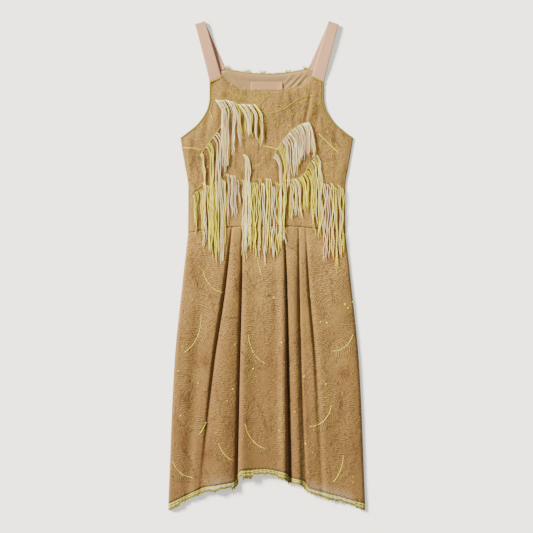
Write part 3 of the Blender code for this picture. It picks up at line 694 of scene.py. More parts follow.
    # painted shade: the folds and the cloth under the fringe are darkened towards a shade brown
    links = {0: marks["foldShade"], 1: marks["paintedFringeShade"]}
    paintedShadeMask = addNode(tree, "Math", {}, links, operation="MAXIMUM")
    paintedShadeShare = addNode(tree, "Math", {1: 0.66}, {0: paintedShadeMask}, operation="MULTIPLY")
    tones = {6: dye["laceGround"], 7: dye["laceCord"]}
    colour = addNode(tree, "Mix", tones, {0: relief}, out=2, data_type="RGBA")
    layers = [(part, "laceShade") for part in (sunk, shade, low, paintedStreakShade, pricks)]
    layers += [(fleck, "limeThread"), (gaps, "laceOpen"), (dotted, "laceShade")]
    layers += [(thin, "laceSheer"), (paintedShadeShare, "paintedShadeBrown")]
    for part, tone in layers:
        links = {0: part, 6: colour}
        colour = addNode(tree, "Mix", {7: dye[tone]}, links, out=2, data_type="RGBA")
    rough = addNode(tree, "MapRange", {3: 0.92, 4: 0.72}, {0: relief})
    finishMaterial(tree, shader, colour, rough, height, 0.9, 0.0013)
    return made


def makeWoven(name, light, dark, across, along, roughness, sheen, edge=0.0):
    # plain woven cloth whose ribs follow its own UV: across and along are ribs from edge to edge
    made, tree, shader = startMaterial(name, roughness, sheen, "#f6eadb", 0.3)
    uv = addNode(tree, "UVMap", uv_map="cut")
    parts = addNode(tree, "SeparateXYZ", {}, {0: uv}).node.outputs
    waves = []
    for part, count in ((parts[0], across), (parts[1], along)):
        turns = {1: 2 * math.pi * count}
        turned = addNode(tree, "Math", turns, {0: part}, operation="MULTIPLY")
        wave = addNode(tree, "Math", {}, {0: turned}, operation="SINE")
        waves.append(addNode(tree, "MapRange", {1: -1.0, 2: 1.0}, {0: wave}))
    weave = waves[1]
    if across:
        weave = addNode(tree, "Math", {}, {0: waves[0], 1: waves[1]}, operation="MULTIPLY")
    place = addNode(tree, "TexCoord", out="Object")
    slub = addNode(tree, "TexNoise", {"Scale": 220, "Detail": 4}, {0: place})  # 4.5 mm
    height = addNode(tree, "Math", {1: 0.6}, {0: slub, 2: weave}, operation="MULTIPLY_ADD")
    tone = addNode(tree, "MapRange", {1: 0.0, 2: 1.6, 3: 0.0, 4: 1.0}, {0: height})
    tones = {6: dye[dark], 7: dye[light]}
    colour = addNode(tree, "Mix", tones, {0: tone}, out=2, data_type="RGBA")
    if edge:
        # a paler, thicker selvedge along both sides
        middle = addNode(tree, "Math", {1: -0.5}, {0: parts[0]}, operation="ADD")
        middle = addNode(tree, "Math", {}, {0: middle}, operation="ABSOLUTE")
        span = {1: 0.5 - edge, 2: 0.5 - edge / 2, 3: 0.0, 4: 0.6}
        selvedge = addNode(tree, "MapRange", span, {0: middle})
        links = {0: selvedge, 6: colour}
        colour = addNode(tree, "Mix", {7: dye[light]}, links, out=2, data_type="RGBA")
        height = addNode(tree, "Math", {}, {0: height, 1: selvedge}, operation="ADD")
    rough = addNode(tree, "MapRange", {3: roughness + 0.1, 4: roughness - 0.08}, {0: weave})
    finishMaterial(tree, shader, colour, rough, height, 0.5, 0.0004)
    return made


def makeThread(name, light, dark, roughness=0.5, sheen=0.8, glow=0.4):
    # loosely twisted silky embroidery thread: a soft gloss, with painted shade in the grooves
    # between plies
    made, tree, shader = startMaterial(name, roughness, sheen, "#ffe3ab", 0.4)
    # silk lets light through to its shaded side, 1.5 mm deep
    shader.inputs["Subsurface Weight"].default_value = glow
    shader.inputs["Subsurface Scale"].default_value = 0.0015
    place = addNode(tree, "TexCoord", out="Object")
    # plies turn once in 1.6 mm, drawn as 3 mm bands so that they show
    bands = {"Scale": 105, "Distortion": 3.5, "Detail": 2}
    ply = addNode(tree, "TexWave", bands, {0: place}, out=1, bands_direction="DIAGONAL")
    fade = addNode(tree, "TexNoise", {"Scale": 45, "Detail": 3}, {0: place})  # 22 mm
    tone = addNode(tree, "Math", {}, {0: ply, 1: fade}, operation="MULTIPLY")
    tone = addNode(tree, "MapRange", {1: 0.0, 2: 0.15}, {0: tone})
    tones = {6: dye[dark], 7: dye[light]}
    colour = addNode(tree, "Mix", tones, {0: tone}, out=2, data_type="RGBA")
    rough = addNode(tree, "MapRange", {3: roughness + 0.15, 4: roughness - 0.1}, {0: ply})
    finishMaterial(tree, shader, colour, rough, ply, 0.6, 0.0003)
    return made


# rows of the picot trim, from its lashes up to its seam; the dotted row lies between two
trimRows = {
    "stops": [
        (0.0, "edgingLow"), (0.36, "edgingMid"), (0.42, "edgingBright"), (0.53, "edgingBright"),
        (0.56, "edgingLow"), (0.68, "edgingLow"), (0.71, "edgingBright"), (0.84, "edgingBright"),
        (0.88, "edgingLow"), (1.0, "edgingDark"),
    ],
    "dotted": 0.62,
    "stitches": 84,  # real ones are 1.5 mm apart, drawn 6 mm apart so that they show
}


def makeEdging(settings):
    # picot lace trim: two bright satin rows with a dotted row between, then loose lace below
    made, tree, shader = startMaterial("picotLaceTrim", 0.75, 0.1, "#f5f2c8", 0.25)
    uv = addNode(tree, "UVMap", uv_map="cut")
    parts = addNode(tree, "SeparateXYZ", {}, {0: uv}).node.outputs
    rows = addNode(tree, "ValToRGB", {}, {0: parts[1]})
    ramp = rows.node.color_ramp
    for n, (where, tone) in enumerate(settings["stops"]):
        stop = ramp.elements[n] if n < 2 else ramp.elements.new(where)
        stop.position = where
        stop.color = dye[tone]
    turns = {1: 2 * math.pi * settings["stitches"]}
    turned = addNode(tree, "Math", turns, {0: parts[0]}, operation="MULTIPLY")
    wave = addNode(tree, "Math", {}, {0: turned}, operation="SINE")
    stitch = addNode(tree, "MapRange", {1: -0.3, 2: 0.5}, {0: wave})
    light = addNode(tree, "MapRange", {3: 0.0, 4: 0.2}, {0: stitch})
    middle = addNode(tree, "Math", {1: -settings["dotted"]}, {0: parts[1]}, operation="ADD")
    middle = addNode(tree, "Math", {}, {0: middle}, operation="ABSOLUTE")
    between = addNode(tree, "MapRange", {1: 0.06, 2: 0.1, 3: 1.0, 4: 0.0}, {0: middle})
    dash = addNode(tree, "Math", {}, {0: between, 1: stitch}, operation="MULTIPLY")
    thin = addNode(tree, "Attribute", attribute_name="sheerness", out="Fac")
    inner = addNode(tree, "MapRange", {1: 0.14, 2: 0.2, 3: 0.85, 4: 0.0}, {0: middle})
    veil = addNode(tree, "Math", {}, {0: inner, 1: thin}, operation="MULTIPLY")
    colour = rows
    for part, tone in ((light, "edgingMid"), (dash, "edgingDark"), (veil, "edgingSheer")):
        links = {0: part, 6: colour}
        colour = addNode(tree, "Mix", {7: dye[tone]}, links, out=2, data_type="RGBA")
    place = addNode(tree, "TexCoord", out="Object")
    fuzz = addNode(tree, "TexNoise", {"Scale": 320, "Detail": 3}, {0: place})  # 3 mm
    height = addNode(tree, "Math", {1: 0.7}, {0: fuzz, 2: stitch}, operation="MULTIPLY_ADD")
    rough = addNode(tree, "MapRange", {3: 0.8, 4: 0.55}, {0: fuzz})
    finishMaterial(tree, shader, colour, rough, height, 0.7, 0.0006)
    return made


def makeFloor(glow):
    # matt studio paper with a faint grain, lit a little from behind as a cut-out table is
    made, tree, shader = startMaterial("studioPaper", 0.9, 0.0, "#ffffff", 0.1)
    place = addNode(tree, "TexCoord", out="Object")
    grain = addNode(tree, "TexNoise", {"Scale": 3, "Detail": 3}, {0: place})
    tones = {6: dye["floorDark"], 7: dye["floorLight"]}
    colour = addNode(tree, "Mix", tones, {0: grain}, out=2, data_type="RGBA")
    tree.links.new(colour, shader.inputs["Base Color"])
    shader.inputs["Emission Color"].default_value = dye["floorLight"]
    shader.inputs["Emission Strength"].default_value = glow
    return made


def makeEyelash():
    # eyelash lace at the neck: the dress's tan lace, flecked with olive yarn
    made, tree, shader = startMaterial("eyelashLace", 0.85, 0.2, "#ecd9b4", 0.2)
    place = addNode(tree, "TexCoord", out="Object")
    yarn = addNode(tree, "TexNoise", {"Scale": 260, "Detail": 3}, {0: place})  # 4 mm
    tone = addNode(tree, "MapRange", {1: 0.35, 2: 0.62}, {0: yarn})
    flecks = addNode(tree, "TexNoise", {"Scale": 90, "Detail": 2}, {0: place})  # 11 mm
    olive = addNode(tree, "MapRange", {1: 0.5, 2: 0.62}, {0: flecks})
    tones = {6: dye["laceGround"], 7: dye["laceCord"]}
    colour = addNode(tree, "Mix", tones, {0: tone}, out=2, data_type="RGBA")
    links = {0: olive, 6: colour}
    colour = addNode(tree, "Mix", {7: dye["edgingMid"]}, links, out=2, data_type="RGBA")
    rough = addNode(tree, "MapRange", {3: 0.9, 4: 0.7}, {0: tone})
    finishMaterial(tree, shader, colour, rough, yarn, 0.8, 0.0007)
    return made


cordedLace = makeLace(laceScales)
eyelashLace = makeEyelash()
# real weaves have 25 or more threads to the centimetre; here each is drawn 2 to 3 mm wide
lawnLining = makeWoven("plainWovenLining", "liningLight", "liningDark", 150, 150, 0.6, 0.25)
grosgrain = makeWoven("grosgrainRibbon", "ribbonLight", "ribbonDark", 0, 110, 0.55, 0.3, 0.06)
boundEdge = makeWoven("foldedSatinBinding", "bindingLight", "bindingDark", 0, 60, 0.6, 0.02)
satinLabel = makeWoven("wovenSatinLabel", "labelLight", "labelDark", 0, 12, 0.45, 0.35, 0.02)
picotTrim = makeEdging(trimRows)
silks = [
    makeThread("creamSilkThread", "creamThread", "creamShade"),
    makeThread("roseSilkThread", "roseThread", "roseShade"),
    makeThread("yellowSilkThread", "yellowThread", "yellowShade", 0.5, 0.1, 0.2),
    makeThread("limeSilkThread", "limeThread", "limeShade", 0.55, 0.0, 0.0),
]
print("finishes made")

# panels of the dress
panels = {
    "bodiceAcross": 90,
    "backAcross": 120,
    "skirtBack": (90, 80),
    "wall": 1.2,
    "backWall": 1.5,
    # the neck's facing: its rise, how far down it reaches and how sharply it ends
    "facing": (0.9, 15, 0.7),
    "backRise": 0.1,
    "backShows": 430,
    # small gathers, from the right strap for the most part: both ends, depth and half width
    "gathers": [
        (98, 478, 60, 436, 2.6, 2.8), (86, 480, 44, 438, 2.2, 2.6), (68, 480, 36, 448, 1.4, 2.4),
        (103, 470, 84, 434, 2.2, 2.6), (-92, 480, -66, 448, 1.0, 3.6),
        (-70, 474, -30, 466, 0.6, 2.6),
    ],
}


def backHeight(x, y, half, top):
    # the inside of the back lies flat, but for its facing and gathers
    rise, reach, sharp = panels["facing"]
    facing = rise / (1 + np.exp((top - y - reach) / sharp))
    height = panels["backRise"] + facing + creaseHeight(x, y, panels["gathers"])
    return np.where(y > panels["backShows"], np.maximum(height, 0.0), 0.0)


def skirtBackSpots(rows, columns):
    share = np.linspace(-1, 1, columns + 1)[None, :]
    up = np.linspace(0, 1, rows + 1)[:, None]
    foot = backHem(np.abs(share) * skirt["lines"][-1][3])
    top = waistSeam(share * bodice["waistHalf"]) - bodice["seamGap"]
    y = foot + (top - foot) * up
    return np.stack([share * sideOfSkirt(y), y, np.zeros_like(y)], axis=-1)


def layPanel(name, spots, material, node, wall):
    return gridPiece(name, spots, material, [node], panels[wall], leafMarks(spots))


lineCount = len(skirt["lines"])
skirtColumns = np.linspace(0, lineCount - 1, (lineCount - 1) * skirt["columnsEach"] + 1)
evenRows = np.linspace(skirt["evenFrom"], 1, skirt["rows"])
skirtShares = np.concatenate([skirt["seamRows"], evenRows])[::-1]
frontSpots = panelSpots(bodice["frontSeam"], frontNeck, panels["bodiceAcross"], bodiceHeight)
backSpots = panelSpots(bodice["backSeam"], backNeck, panels["backAcross"], backHeight)
skirtSpotsLaid = skirtSpots(skirtShares, skirtColumns)
skirtBackLaid = skirtBackSpots(*panels["skirtBack"])
bodiceFront = layPanel("bodiceFrontLace", frontSpots, cordedLace, "bodice_front", "wall")
bodiceBack = layPanel("bodiceBackLined", backSpots, lawnLining, "bodice_back", "backWall")
bodiceBack.data.materials.append(cordedLace)  # the lace side, which lies underneath
bodiceBack.modifiers["wall"].material_offset = 1
skirtFront = layPanel("skirtFrontLace", skirtSpotsLaid, cordedLace, "skirt_front", "wall")
skirtBack = layPanel("skirtBackLace", skirtBackLaid, cordedLace, "skirt_back", "backWall")
print("panels laid")

# where the thread and trims lie: the top of the front, on an even grid (mm)
bpy.context.view_layer.update()
depsgraph = bpy.context.evaluated_depsgraph_get()
frontTrees = [BVHTree.FromObject(piece, depsgraph) for piece in (bodiceFront, skirtFront)]
bedSettings = {"across": (-220, 221, 4.0), "along": (-60, 470, 6.0), "bare": 3.0}
rayFrom = 0.2  # m


def settle(x, y):
    # height of the cloth's upper face at a point, in mm
    start = Vector((x * mm, y * mm, rayFrom))
    hits = [tree.ray_cast(start, Vector((0, 0, -1)))[0] for tree in frontTrees]
    found = [hit.z / mm for hit in hits if hit]
    return max(found) if found else bedSettings["bare"]


def makeBed(settings):
    # a smoothed cover over the cloth, which bridges its creases as hanging thread does
    xs, ys = np.arange(*settings["across"]), np.arange(*settings["along"])
    stepX, stepY = settings["across"][2], settings["along"][2]
    heights = np.array([[settle(x, y) for x in xs] for y in ys])

    def neighbours(values):
        padded = np.pad(values, 1, mode="edge")
        return [padded[i : i + len(ys), j : j + len(xs)] for i in range(3) for j in range(3)]

    cover = np.max(neighbours(heights), axis=0)
    cover = np.maximum(np.mean(neighbours(cover), axis=0), heights)

    def bed(x, y):
        column = min(max((x - xs[0]) / stepX, 0), len(xs) - 1.001)
        row = min(max((y - ys[0]) / stepY, 0), len(ys) - 1.001)
        i, j = int(row), int(column)
        v, u = row - i, column - j
        low = cover[i, j] * (1 - u) + cover[i, j + 1] * u
        high = cover[i + 1, j] * (1 - u) + cover[i + 1, j + 1] * u
        return float(low * (1 - v) + high * v)

    return bed


threadBed = makeBed(bedSettings)
print("thread bed measured")

# fringe: each lock has strands, and each strand a few threads (mm)
cream, rose, yellow, lime = range(4)  # the silks by number
shadeNumber = {"c": cream, "r": rose, "y": yellow, "g": lime}
fringe = {
    "threads": 3,  # in each strand
    "radius": (0.3, 0.5),
    "layerRise": 1.5,
    "startSpread": 1.2,
    "settled": 1.8,  # how far a thread falls before it hangs straight, in swings
    "drops": [0, 1.5, 3.5, 6.5, 10, 14, 19, 25],
    "evenFrom": 32,
    "evenStep": 8,
    "curlFrom": 0.86,
    "curlOver": 0.14,
    "ownShade": 0.62,  # share of strands that keep their lock's silk
    "mixedShades": "ccryyy",
    "apart": {2: 3.8, 3: 3.3},  # between a lock's strands, by how many there are
    "chainStep": 1.3,
    # random spans of a lock, of its strands and of their threads, drawn in this order
    "lock": {
        "swing": (0.8, 1.15),
        "length": (0.93, 1.07),
        "drift": (-2.2, 2.2),
        "wave": (11, 22),
        "sway": (0.4, 2.0),
        "phase": (0, 6.28),
    },
    "strand": {
        "x": (-1.0, 1.0),
        "length": (0.87, 1.05),
        "drift": (-4.2, 4.2),
        "wander": (0.5, 1.7),
        "wave": (6.0, 13.0),
        "phase": (0, 6.28),
        "rise": (0.0, 2.0),
        "curl": (-2.6, 2.6),
    },
    "thread": {
        "swing": (0.9, 1.1),
        "settled": (0.9, 1.2),
        "length": (0.88, 1.03),
        "drift": (-1, 1),
        "phase": (-0.5, 0.5),
        "rise": (0.0, 0.8),
    },
    # rows at the waist, then rows above them
    "kinds": [
        {"spread": 0.7, "drift": 1.2, "uneven": (-11, 7), "arch": 0.0, "chain": 0.5},
        {"spread": 1.2, "drift": 2.4, "uneven": (-1, 1), "arch": 1.6, "chain": 0.8},
    ],
    # painted shade on the cloth below: side margin, then the widths over which it fades
    "shade": {"margin": 2, "side": 5, "top": 8, "bottom": 25},
    # knots are x, y and the y where the lock there ends
    "rows": {
        "fringe_left_waist": {
            "spacing": 7.6, "strands": 2, "layer": 0, "swing": 4,
            "slot": "fringe_cream", "shades": "yyccycycyccrrcc",
            "knots": [
                (-184, 186, 90), (-168, 197, 60), (-150, 207, 30), (-132, 214, 10),
                (-114, 221, 0), (-98, 225, 98), (-86, 221, 112), (-74, 219, 150),
            ],
        },
        "fringe_centre_waist": {
            "spacing": 7.6, "strands": 2, "layer": 0, "swing": 4,
            "slot": "fringe_yellow", "shades": "cyyyyyrccrccyyc",
            "knots": [
                (-62, 214, 16), (-46, 208, 28), (-20, 216, 8),
                (0, 214, 12), (18, 206, 4), (40, 202, 50),
            ],
        },
        "fringe_right_waist": {
            "spacing": 7.6, "strands": 2, "layer": 0, "swing": 4,
            "slot": "fringe_pink", "shades": "ycrcrrccyycyy",
            "knots": [
                (132, 204, 50), (146, 213, 2), (160, 209, -14), (176, 202, 10), (188, 194, 28),
            ],
        },
        "fringe_left_slope": {
            "spacing": 11.5, "strands": 3, "layer": 1, "swing": 10,
            "slot": "fringe_cream", "shades": "rccyyccrcc",
            "knots": [
                (-166, 276, 64), (-152, 296, 58), (-134, 320, 110),
                (-120, 340, 200), (-112, 352, 240),
            ],
        },
        "fringe_centre_lock": {
            "spacing": 5, "strands": 2, "layer": 1, "swing": 9,
            "slot": "fringe_cream", "shades": "ccc",
            "knots": [(-60, 278, 40), (-55, 276, 24), (-50, 272, 46)],
        },
        "fringe_right_arch": {
            "spacing": 7.6, "strands": 2, "layer": 1, "swing": 11,
            "slot": "fringe_yellow", "shades": "ccccyygyycyyy",
            "knots": [
                (46, 214, 112), (66, 216, 122), (86, 222, 132),
                (100, 240, 118), (112, 260, 60), (124, 274, 50),
            ],
        },
        "fringe_upper_left": {
            "spacing": 12.0, "strands": 3, "layer": 2, "swing": 18,
            "slot": "fringe_cream", "shades": "cyccyycccycc",
            "knots": [
                (-128, 412, 236), (-112, 414, 246), (-94, 411, 300),
                (-74, 404, 318), (-54, 402, 312), (-32, 402, 298),
            ],
        },
        "fringe_right_slope": {
            "spacing": 10.0, "strands": 3, "layer": 2, "swing": 14,
            "slot": "fringe_cream", "shades": "cyccycyccycc",
            "knots": [
                (18, 270, 48), (28, 294, 56), (42, 316, 200),
                (62, 337, 234), (82, 352, 262), (102, 358, 276),
            ],
        },
    },
}


def drawn(spans):
    # one random value for each named span
    return {key: chance.uniform(*span) for key, span in spans.items()}


def newStrand(x, lock, shade):
    strand = drawn(fringe["strand"])
    strand["x"] += x
    strand["length"] *= lock["length"]
    strand["drift"] += lock["drift"]
    own = chance.random() < fringe["ownShade"]
    strand["shade"] = shade if own else chance.choice(fringe["mixedShades"])
    return strand


def hangingThread(x, y, tip, row, lock, strand):
    # one thread: out of its stitch, over to the right, then down with a slight wave
    kind = fringe["kinds"][min(row["layer"], 1)]
    own = drawn(fringe["thread"])
    swing = row["swing"] * lock["swing"] * own["swing"]
    settled = fringe["settled"] * row["swing"] * own["settled"]
    length = (y - tip) * strand["length"] * own["length"]
    drift = strand["drift"] + own["drift"] * kind["drift"]
    phase = strand["phase"] + own["phase"]
    rise = strand["rise"] + own["rise"] + row["layer"] * fringe["layerRise"]
    drops = [drop for drop in fringe["drops"] if drop < length]
    drops += [*np.arange(fringe["evenFrom"], length - 4, fringe["evenStep"]), length]
    points = []
    for drop in drops:
        turned = 1 - min(drop / settled, 1)
        share = drop / length
        across = swing * (1 - turned**2) + drift * share
        across += strand["wander"] * math.sin(phase + drop / strand["wave"]) * min(drop / 20, 1)
        across += lock["sway"] * math.sin(lock["phase"] + drop / lock["wave"]) * min(drop / 30, 1)
        across += strand["curl"] * max(share - fringe["curlFrom"], 0) / fringe["curlOver"]
        # the first few millimetres rise over the stitch before the thread falls
        arch = kind["arch"] * math.sin(min(drop / 9, 1) * math.pi)
        lift = 0.9 + rise * min(0.25 + drop / 8, 1)
        spotX, spotY = x + across, y - drop + arch
        points.append((spotX, spotY, threadBed(spotX, spotY) + lift))
    return points


def makeFringe(name, row):
    kind = fringe["kinds"][min(row["layer"], 1)]
    xs, ys, ends = zip(*row["knots"])
    line, tips = smoothCurve(xs, ys), smoothCurve(xs, ends)
    count = max(3, int((xs[-1] - xs[0]) / row["spacing"]))
    grown = []
    for root in np.linspace(xs[0], xs[-1], count):
        share = (root - xs[0]) / (xs[-1] - xs[0])
        main = row["shades"][min(int(share * len(row["shades"])), len(row["shades"]) - 1)]
        lock = drawn(fringe["lock"])
        uneven = chance.uniform(*kind["uneven"])
        for n in range(row["strands"]):
            start = root + (n - (row["strands"] - 1) / 2) * fringe["apart"][row["strands"]]
            strand = newStrand(start, lock, main)
            for m in range(fringe["threads"]):
                spread = chance.uniform(-1, 1) * kind["spread"]
                x = min(max(strand["x"] + spread, xs[0]), xs[-1])
                above = chance.uniform(-fringe["startSpread"], fringe["startSpread"])
                y = float(line(x)) + uneven + above
                points = hangingThread(x, y, float(tips(x)), row, lock, strand)
                radius = chance.uniform(*fringe["radius"])
                grown.append((points, radius, shadeNumber[strand["shade"]]))
    # the looped chain stitch that the locks hang from
    chain = []
    for n, x in enumerate(np.arange(xs[0] - 2, xs[-1] + 2, fringe["chainStep"])):
        side = 0.5 if n % 2 else -0.5
        y = float(line(x)) + side
        chain.append((x, y, threadBed(x, y) + 1.2 + 0.3 * side))
    grown.append((chain, kind["chain"], lime))
    return threadPiece(name.replace("fringe_", "fringe-"), grown, silks, [name])


fringePieces = [makeFringe(name, row) for name, row in fringe["rows"].items()]


def shadeUnderFringe(piece, soft):
    # painted shade: the lace under the locks is darkened where their shadow falls
    mesh = piece.data
    places = np.empty(len(mesh.vertices) * 3)
    mesh.vertices.foreach_get("co", places)
    x, y = places[0::3] / mm, places[1::3] / mm
    shade = np.zeros_like(x)
    for row in fringe["rows"].values():
        xs, ys, ends = zip(*row["knots"])
        line = smoothCurve(xs, ys)(x - row["swing"] / 2)
        tips = smoothCurve(xs, ends)(x - row["swing"])
        across = np.clip((x - xs[0] - soft["margin"]) / soft["side"], 0, 1)
        across *= np.clip((xs[-1] + row["swing"] + soft["margin"] - x) / soft["side"], 0, 1)
        along = np.clip((line - y) / soft["top"], 0, 1) * np.clip((y - tips) / soft["bottom"], 0, 1)
        shade = np.maximum(shade, across * along)
    layer = mesh.attributes.new("paintedFringeShade", "FLOAT", "POINT")
    layer.data.foreach_set("value", np.ascontiguousarray(shade, np.float32))


for piece in (bodiceFront, skirtFront):
    shadeUnderFringe(piece, fringe["shade"])
print("fringe hung")

# bound armholes, rounded over in a front and a back length
binding = {"crown": 0.4, "across": 9, "wall": {"front": 1.1, "back": 1.4}}


def bindingSpots(seam, side, floor):
    outer = np.array(armholeLine(seam, 0))
    inner = np.array(armholeLine(seam, bodice["bindingWidth"]))
    across = np.linspace(0, 1, binding["across"])[None, :]
    if side > 0:
        outer, inner = inner, outer
    flat = outer[:, None, :] * (1 - across[..., None]) + inner[:, None, :] * across[..., None]
    crown = binding["crown"] * (1 - (2 * across - 1) ** 2) * np.ones_like(flat[..., 0])
    return np.stack([side * flat[..., 0], flat[..., 1], floor + crown], axis=-1)


sides = {"left": -1, "right": 1}
edgePieces = {"front": [], "back": []}
for face, floor in (("front", bodice["floor"]), ("back", 0.0)):
    for hand, side in sides.items():
        spots = bindingSpots(bodice[face + "Seam"], side, floor)
        name, node = f"armholeBinding.{face}.{hand}", f"armhole_binding_{face}_{hand}"
        strip = gridPiece(name, spots, boundEdge, [node], binding["wall"][face])
        edgePieces[face].append(strip)

# ribbon straps, looped over from the front neck corner to the back one
strap = {
    "wall": 0.6,
    "rows": 136,
    "columns": 13,
    "lie": 0.25,
    # both edges and the underside's height at each stage of the left loop
    "stages": [
        (-143, 460.3, -113, 473.3, 3.0),
        (-151.5, 497.0, -123.0, 507.0, 6.2),
        (-165.0, 550.0, -139.0, 560.0, 8.0),
        (-178.0, 599.0, -153.0, 608.0, 8.4),
        (-179.4, 602.6, -154.4, 610.8, 7.0),
        (-179.8, 603.2, -154.8, 611.4, 5.0),
        (-179.2, 602.2, -154.2, 610.4, 3.0),
        (-176.0, 594.0, -151.0, 603.0, 1.6),
        (-156.0, 540.0, -129.0, 551.0, 1.3),
        (-131, 480.3, -102, 491.3, 1.05),
    ],
}


def strapSpots(side):
    stages = np.array(strap["stages"])
    curves = [smoothCurve(range(len(stages)), values) for values in stages.T]
    along = np.linspace(0, len(stages) - 1, strap["rows"])
    outerX, outerY, innerX, innerY, z = (curve(along)[:, None] for curve in curves)
    across = np.linspace(0, 1, strap["columns"])[None, :]
    if side < 0:
        x = outerX + (innerX - outerX) * across
        y = outerY + (innerY - outerY) * across
    else:
        x = -(innerX + (outerX - innerX) * across)
        y = innerY + (outerY - innerY) * across
    lie = strap["lie"] * np.sin(along[:, None] * 2.1) * (1 - (2 * across - 1) ** 2)
    front = np.clip(1 - along[:, None] / 4, 0, 1)
    return np.stack([x, y, z + np.zeros_like(x) + lie * front], axis=-1)


for hand, side in sides.items():
    name, node = f"ribbonStrap.{hand}", f"strap_{hand}"
    ribbon = gridPiece(name, strapSpots(side), grosgrain, [node], strap["wall"])

# bare woven label inside the back neck, its right end lifted a little
label = {
    "width": 79.0,
    "height": 20.0,
    "y": 449.5,
    "base": 1.85,
    "wall": 0.5,
    "lift": 1.7,
    "liftFrom": 0.55,
    "liftOver": 0.45,
}


def labelSpots():
    across = np.linspace(-1, 1, 41)[None, :]
    up = np.linspace(-1, 1, 15)[:, None]
    end = np.clip((across - label["liftFrom"]) / label["liftOver"], 0, 1)
    bow = label["lift"] * end**2 * (1.2 - 0.2 * up)
    x = across * label["width"] / 2 + 0 * up
    y = label["y"] + up * label["height"] / 2 + 0 * across
    return np.stack([x, y, label["base"] + bow], axis=-1)


labelPiece = gridPiece("neckLabel", labelSpots(), satinLabel, ["label"], label["wall"])

# eyelash edging along both necklines, with loose tufts (mm)
yarnMix = (yellow, lime, lime)
neckTrim = {
    "wall": 0.9,
    "columns": 221,
    "lashes": (0.8, 5.0),
    # hairs of yarn: how many are missing, their height over the trim, length and radius
    "missing": {"front": 0.6, "back": 0.3},
    "lift": 0.9,
    "reach": 6.0,
    "hairRadius": (0.22, 0.42),
    "tufts": [(-97, 493), (-52, 484), (-12, 480), (53, 483), (98, 492)],
    "tuftHairs": 16,
    "tuftRadius": (0.3, 0.5),
    # stitching along the strap's foot: how many stitches, their height and radius
    "footStitches": 46,
    "footHeight": 5.2,
    "footRadius": 0.42,
}


def lash(n, low, high):
    wave = 0.5 + 0.3 * math.sin(n * 2.4) + 0.2 * math.sin(n * 5.3 + 1)
    return low + (high - low) * wave


def neckTrimSpots(seam, neck, edgeX, height):
    x = np.linspace(-seam[0], seam[0], neckTrim["columns"])
    y = neck(np.abs(x) / seam[0])
    z = height(x, y, np.full_like(x, edgeX), y)
    sewn = np.stack([x, y + bodice["seamGap"], z], axis=-1)
    tips = sewn + [(0, lash(n * 0.55, *neckTrim["lashes"]), 0) for n in range(len(x))]
    share = np.linspace(0, 1, 4)[:, None, None]
    return sewn * (1 - share) + tips * share


def neckHairs(line, missing):
    # fine ends of the edging's yarn, which stand out unevenly from it
    hairs = []
    for x, y, z in line[:-1:2]:
        if chance.random() < missing:
            continue
        lean = chance.uniform(-0.9, 0.9)
        long = chance.uniform(0.4, 1.0) * neckTrim["reach"]
        bend = chance.uniform(-0.6, 0.6) * long
        z += neckTrim["lift"]
        middle = (x + lean * long * 0.5, y + long * 0.6, z + 0.5)
        end = (x + lean * long * 0.7 + bend, y + long, z + 0.2)
        radius = chance.uniform(*neckTrim["hairRadius"])
        hairs.append(([(x, y, z), middle, end], radius, chance.choice(yarnMix)))
    return hairs


def tuftHairs():
    # loose tufts that stand up here and there along the back neck
    hairs = []
    for x, y in neckTrim["tufts"]:
        for n in range(neckTrim["tuftHairs"]):
            start = (x + chance.uniform(-7, 7), y + chance.uniform(-1, 2), 1.2)
            end = (start[0] + chance.uniform(-5, 5), start[1] + chance.uniform(3, 10))
            end = (*end, chance.uniform(1.0, 3.0))
            middle = [(a + b) / 2 + chance.uniform(-1, 1) for a, b in zip(start, end)]
            hairs.append(([start, middle, end], chance.uniform(*neckTrim["tuftRadius"]), lime))
    return hairs


def footStitches(seam):
    # olive stitching where the strap's foot is sewn down
    hairs = []
    count, z = neckTrim["footStitches"], neckTrim["footHeight"]
    for side in sides.values():
        for n in range(count):
            share = n / (count - 1)
            x = seam[0] + (seam[2] - seam[0]) * share
            y = seam[1] + (seam[3] - seam[1]) * share - 2.5 * abs(math.sin(n * 0.42))
            start, middle = (side * x, y - 1.2, z), (side * (x + 0.6), y + 0.4, z + 0.5)
            end = (side * x, y + chance.uniform(1.5, 3.5), z)
            hairs.append(([start, middle, end], neckTrim["footRadius"], lime))
    return hairs


for face, neck, height in (("front", frontNeck, bodiceHeight), ("back", backNeck, backHeight)):
    seam = bodice[face + "Seam"]
    spots = neckTrimSpots(seam, neck, panelEdge(seam)[-1][0], height)
    name, node = f"neckEdging.{face}", f"neck_edging_{face}"
    trim = gridPiece(name, spots, eyelashLace, [node], neckTrim["wall"])
    hairs = neckHairs(spots[2], neckTrim["missing"][face])
    hairs += footStitches(seam) if face == "front" else tuftHairs()
    edgePieces[face] += [trim, threadPiece(f"neckLashes.{face}", hairs, silks)]
print("edges, straps and label sewn")

# banded picot lace along both hems, with eyelashes and a few longer tabs of lace (mm)
hem = {
    "gap": 0.3,
    "width": 11.0,
    "wall": {"front": 1.2, "back": 1.4},
    "lowest": -610.0,
    "lashes": (0, 3),
    # hairs of yarn: how many are missing, their length, lift and radius
    "missing": 0.45,
    "reach": (1.0, 6.0),
    "shortest": 0.5,
    "lift": 0.8,
    "hairRadius": (0.3, 0.5),
    # dark picots along the seam: every how many columns, and their radius
    "picotEvery": 6,
    "picotRadius": 0.9,
    # where the lace hangs lower than the rest: from x, to x, and how far
    "tabs": [
        (-246, -218, 7), (-140, -118, 4), (-88, -70, 6), (-60, -34, 11), (28, 56, 8), (88, 104, 5),
        (150, 176, 3), (222, 246, 7),
    ],
}


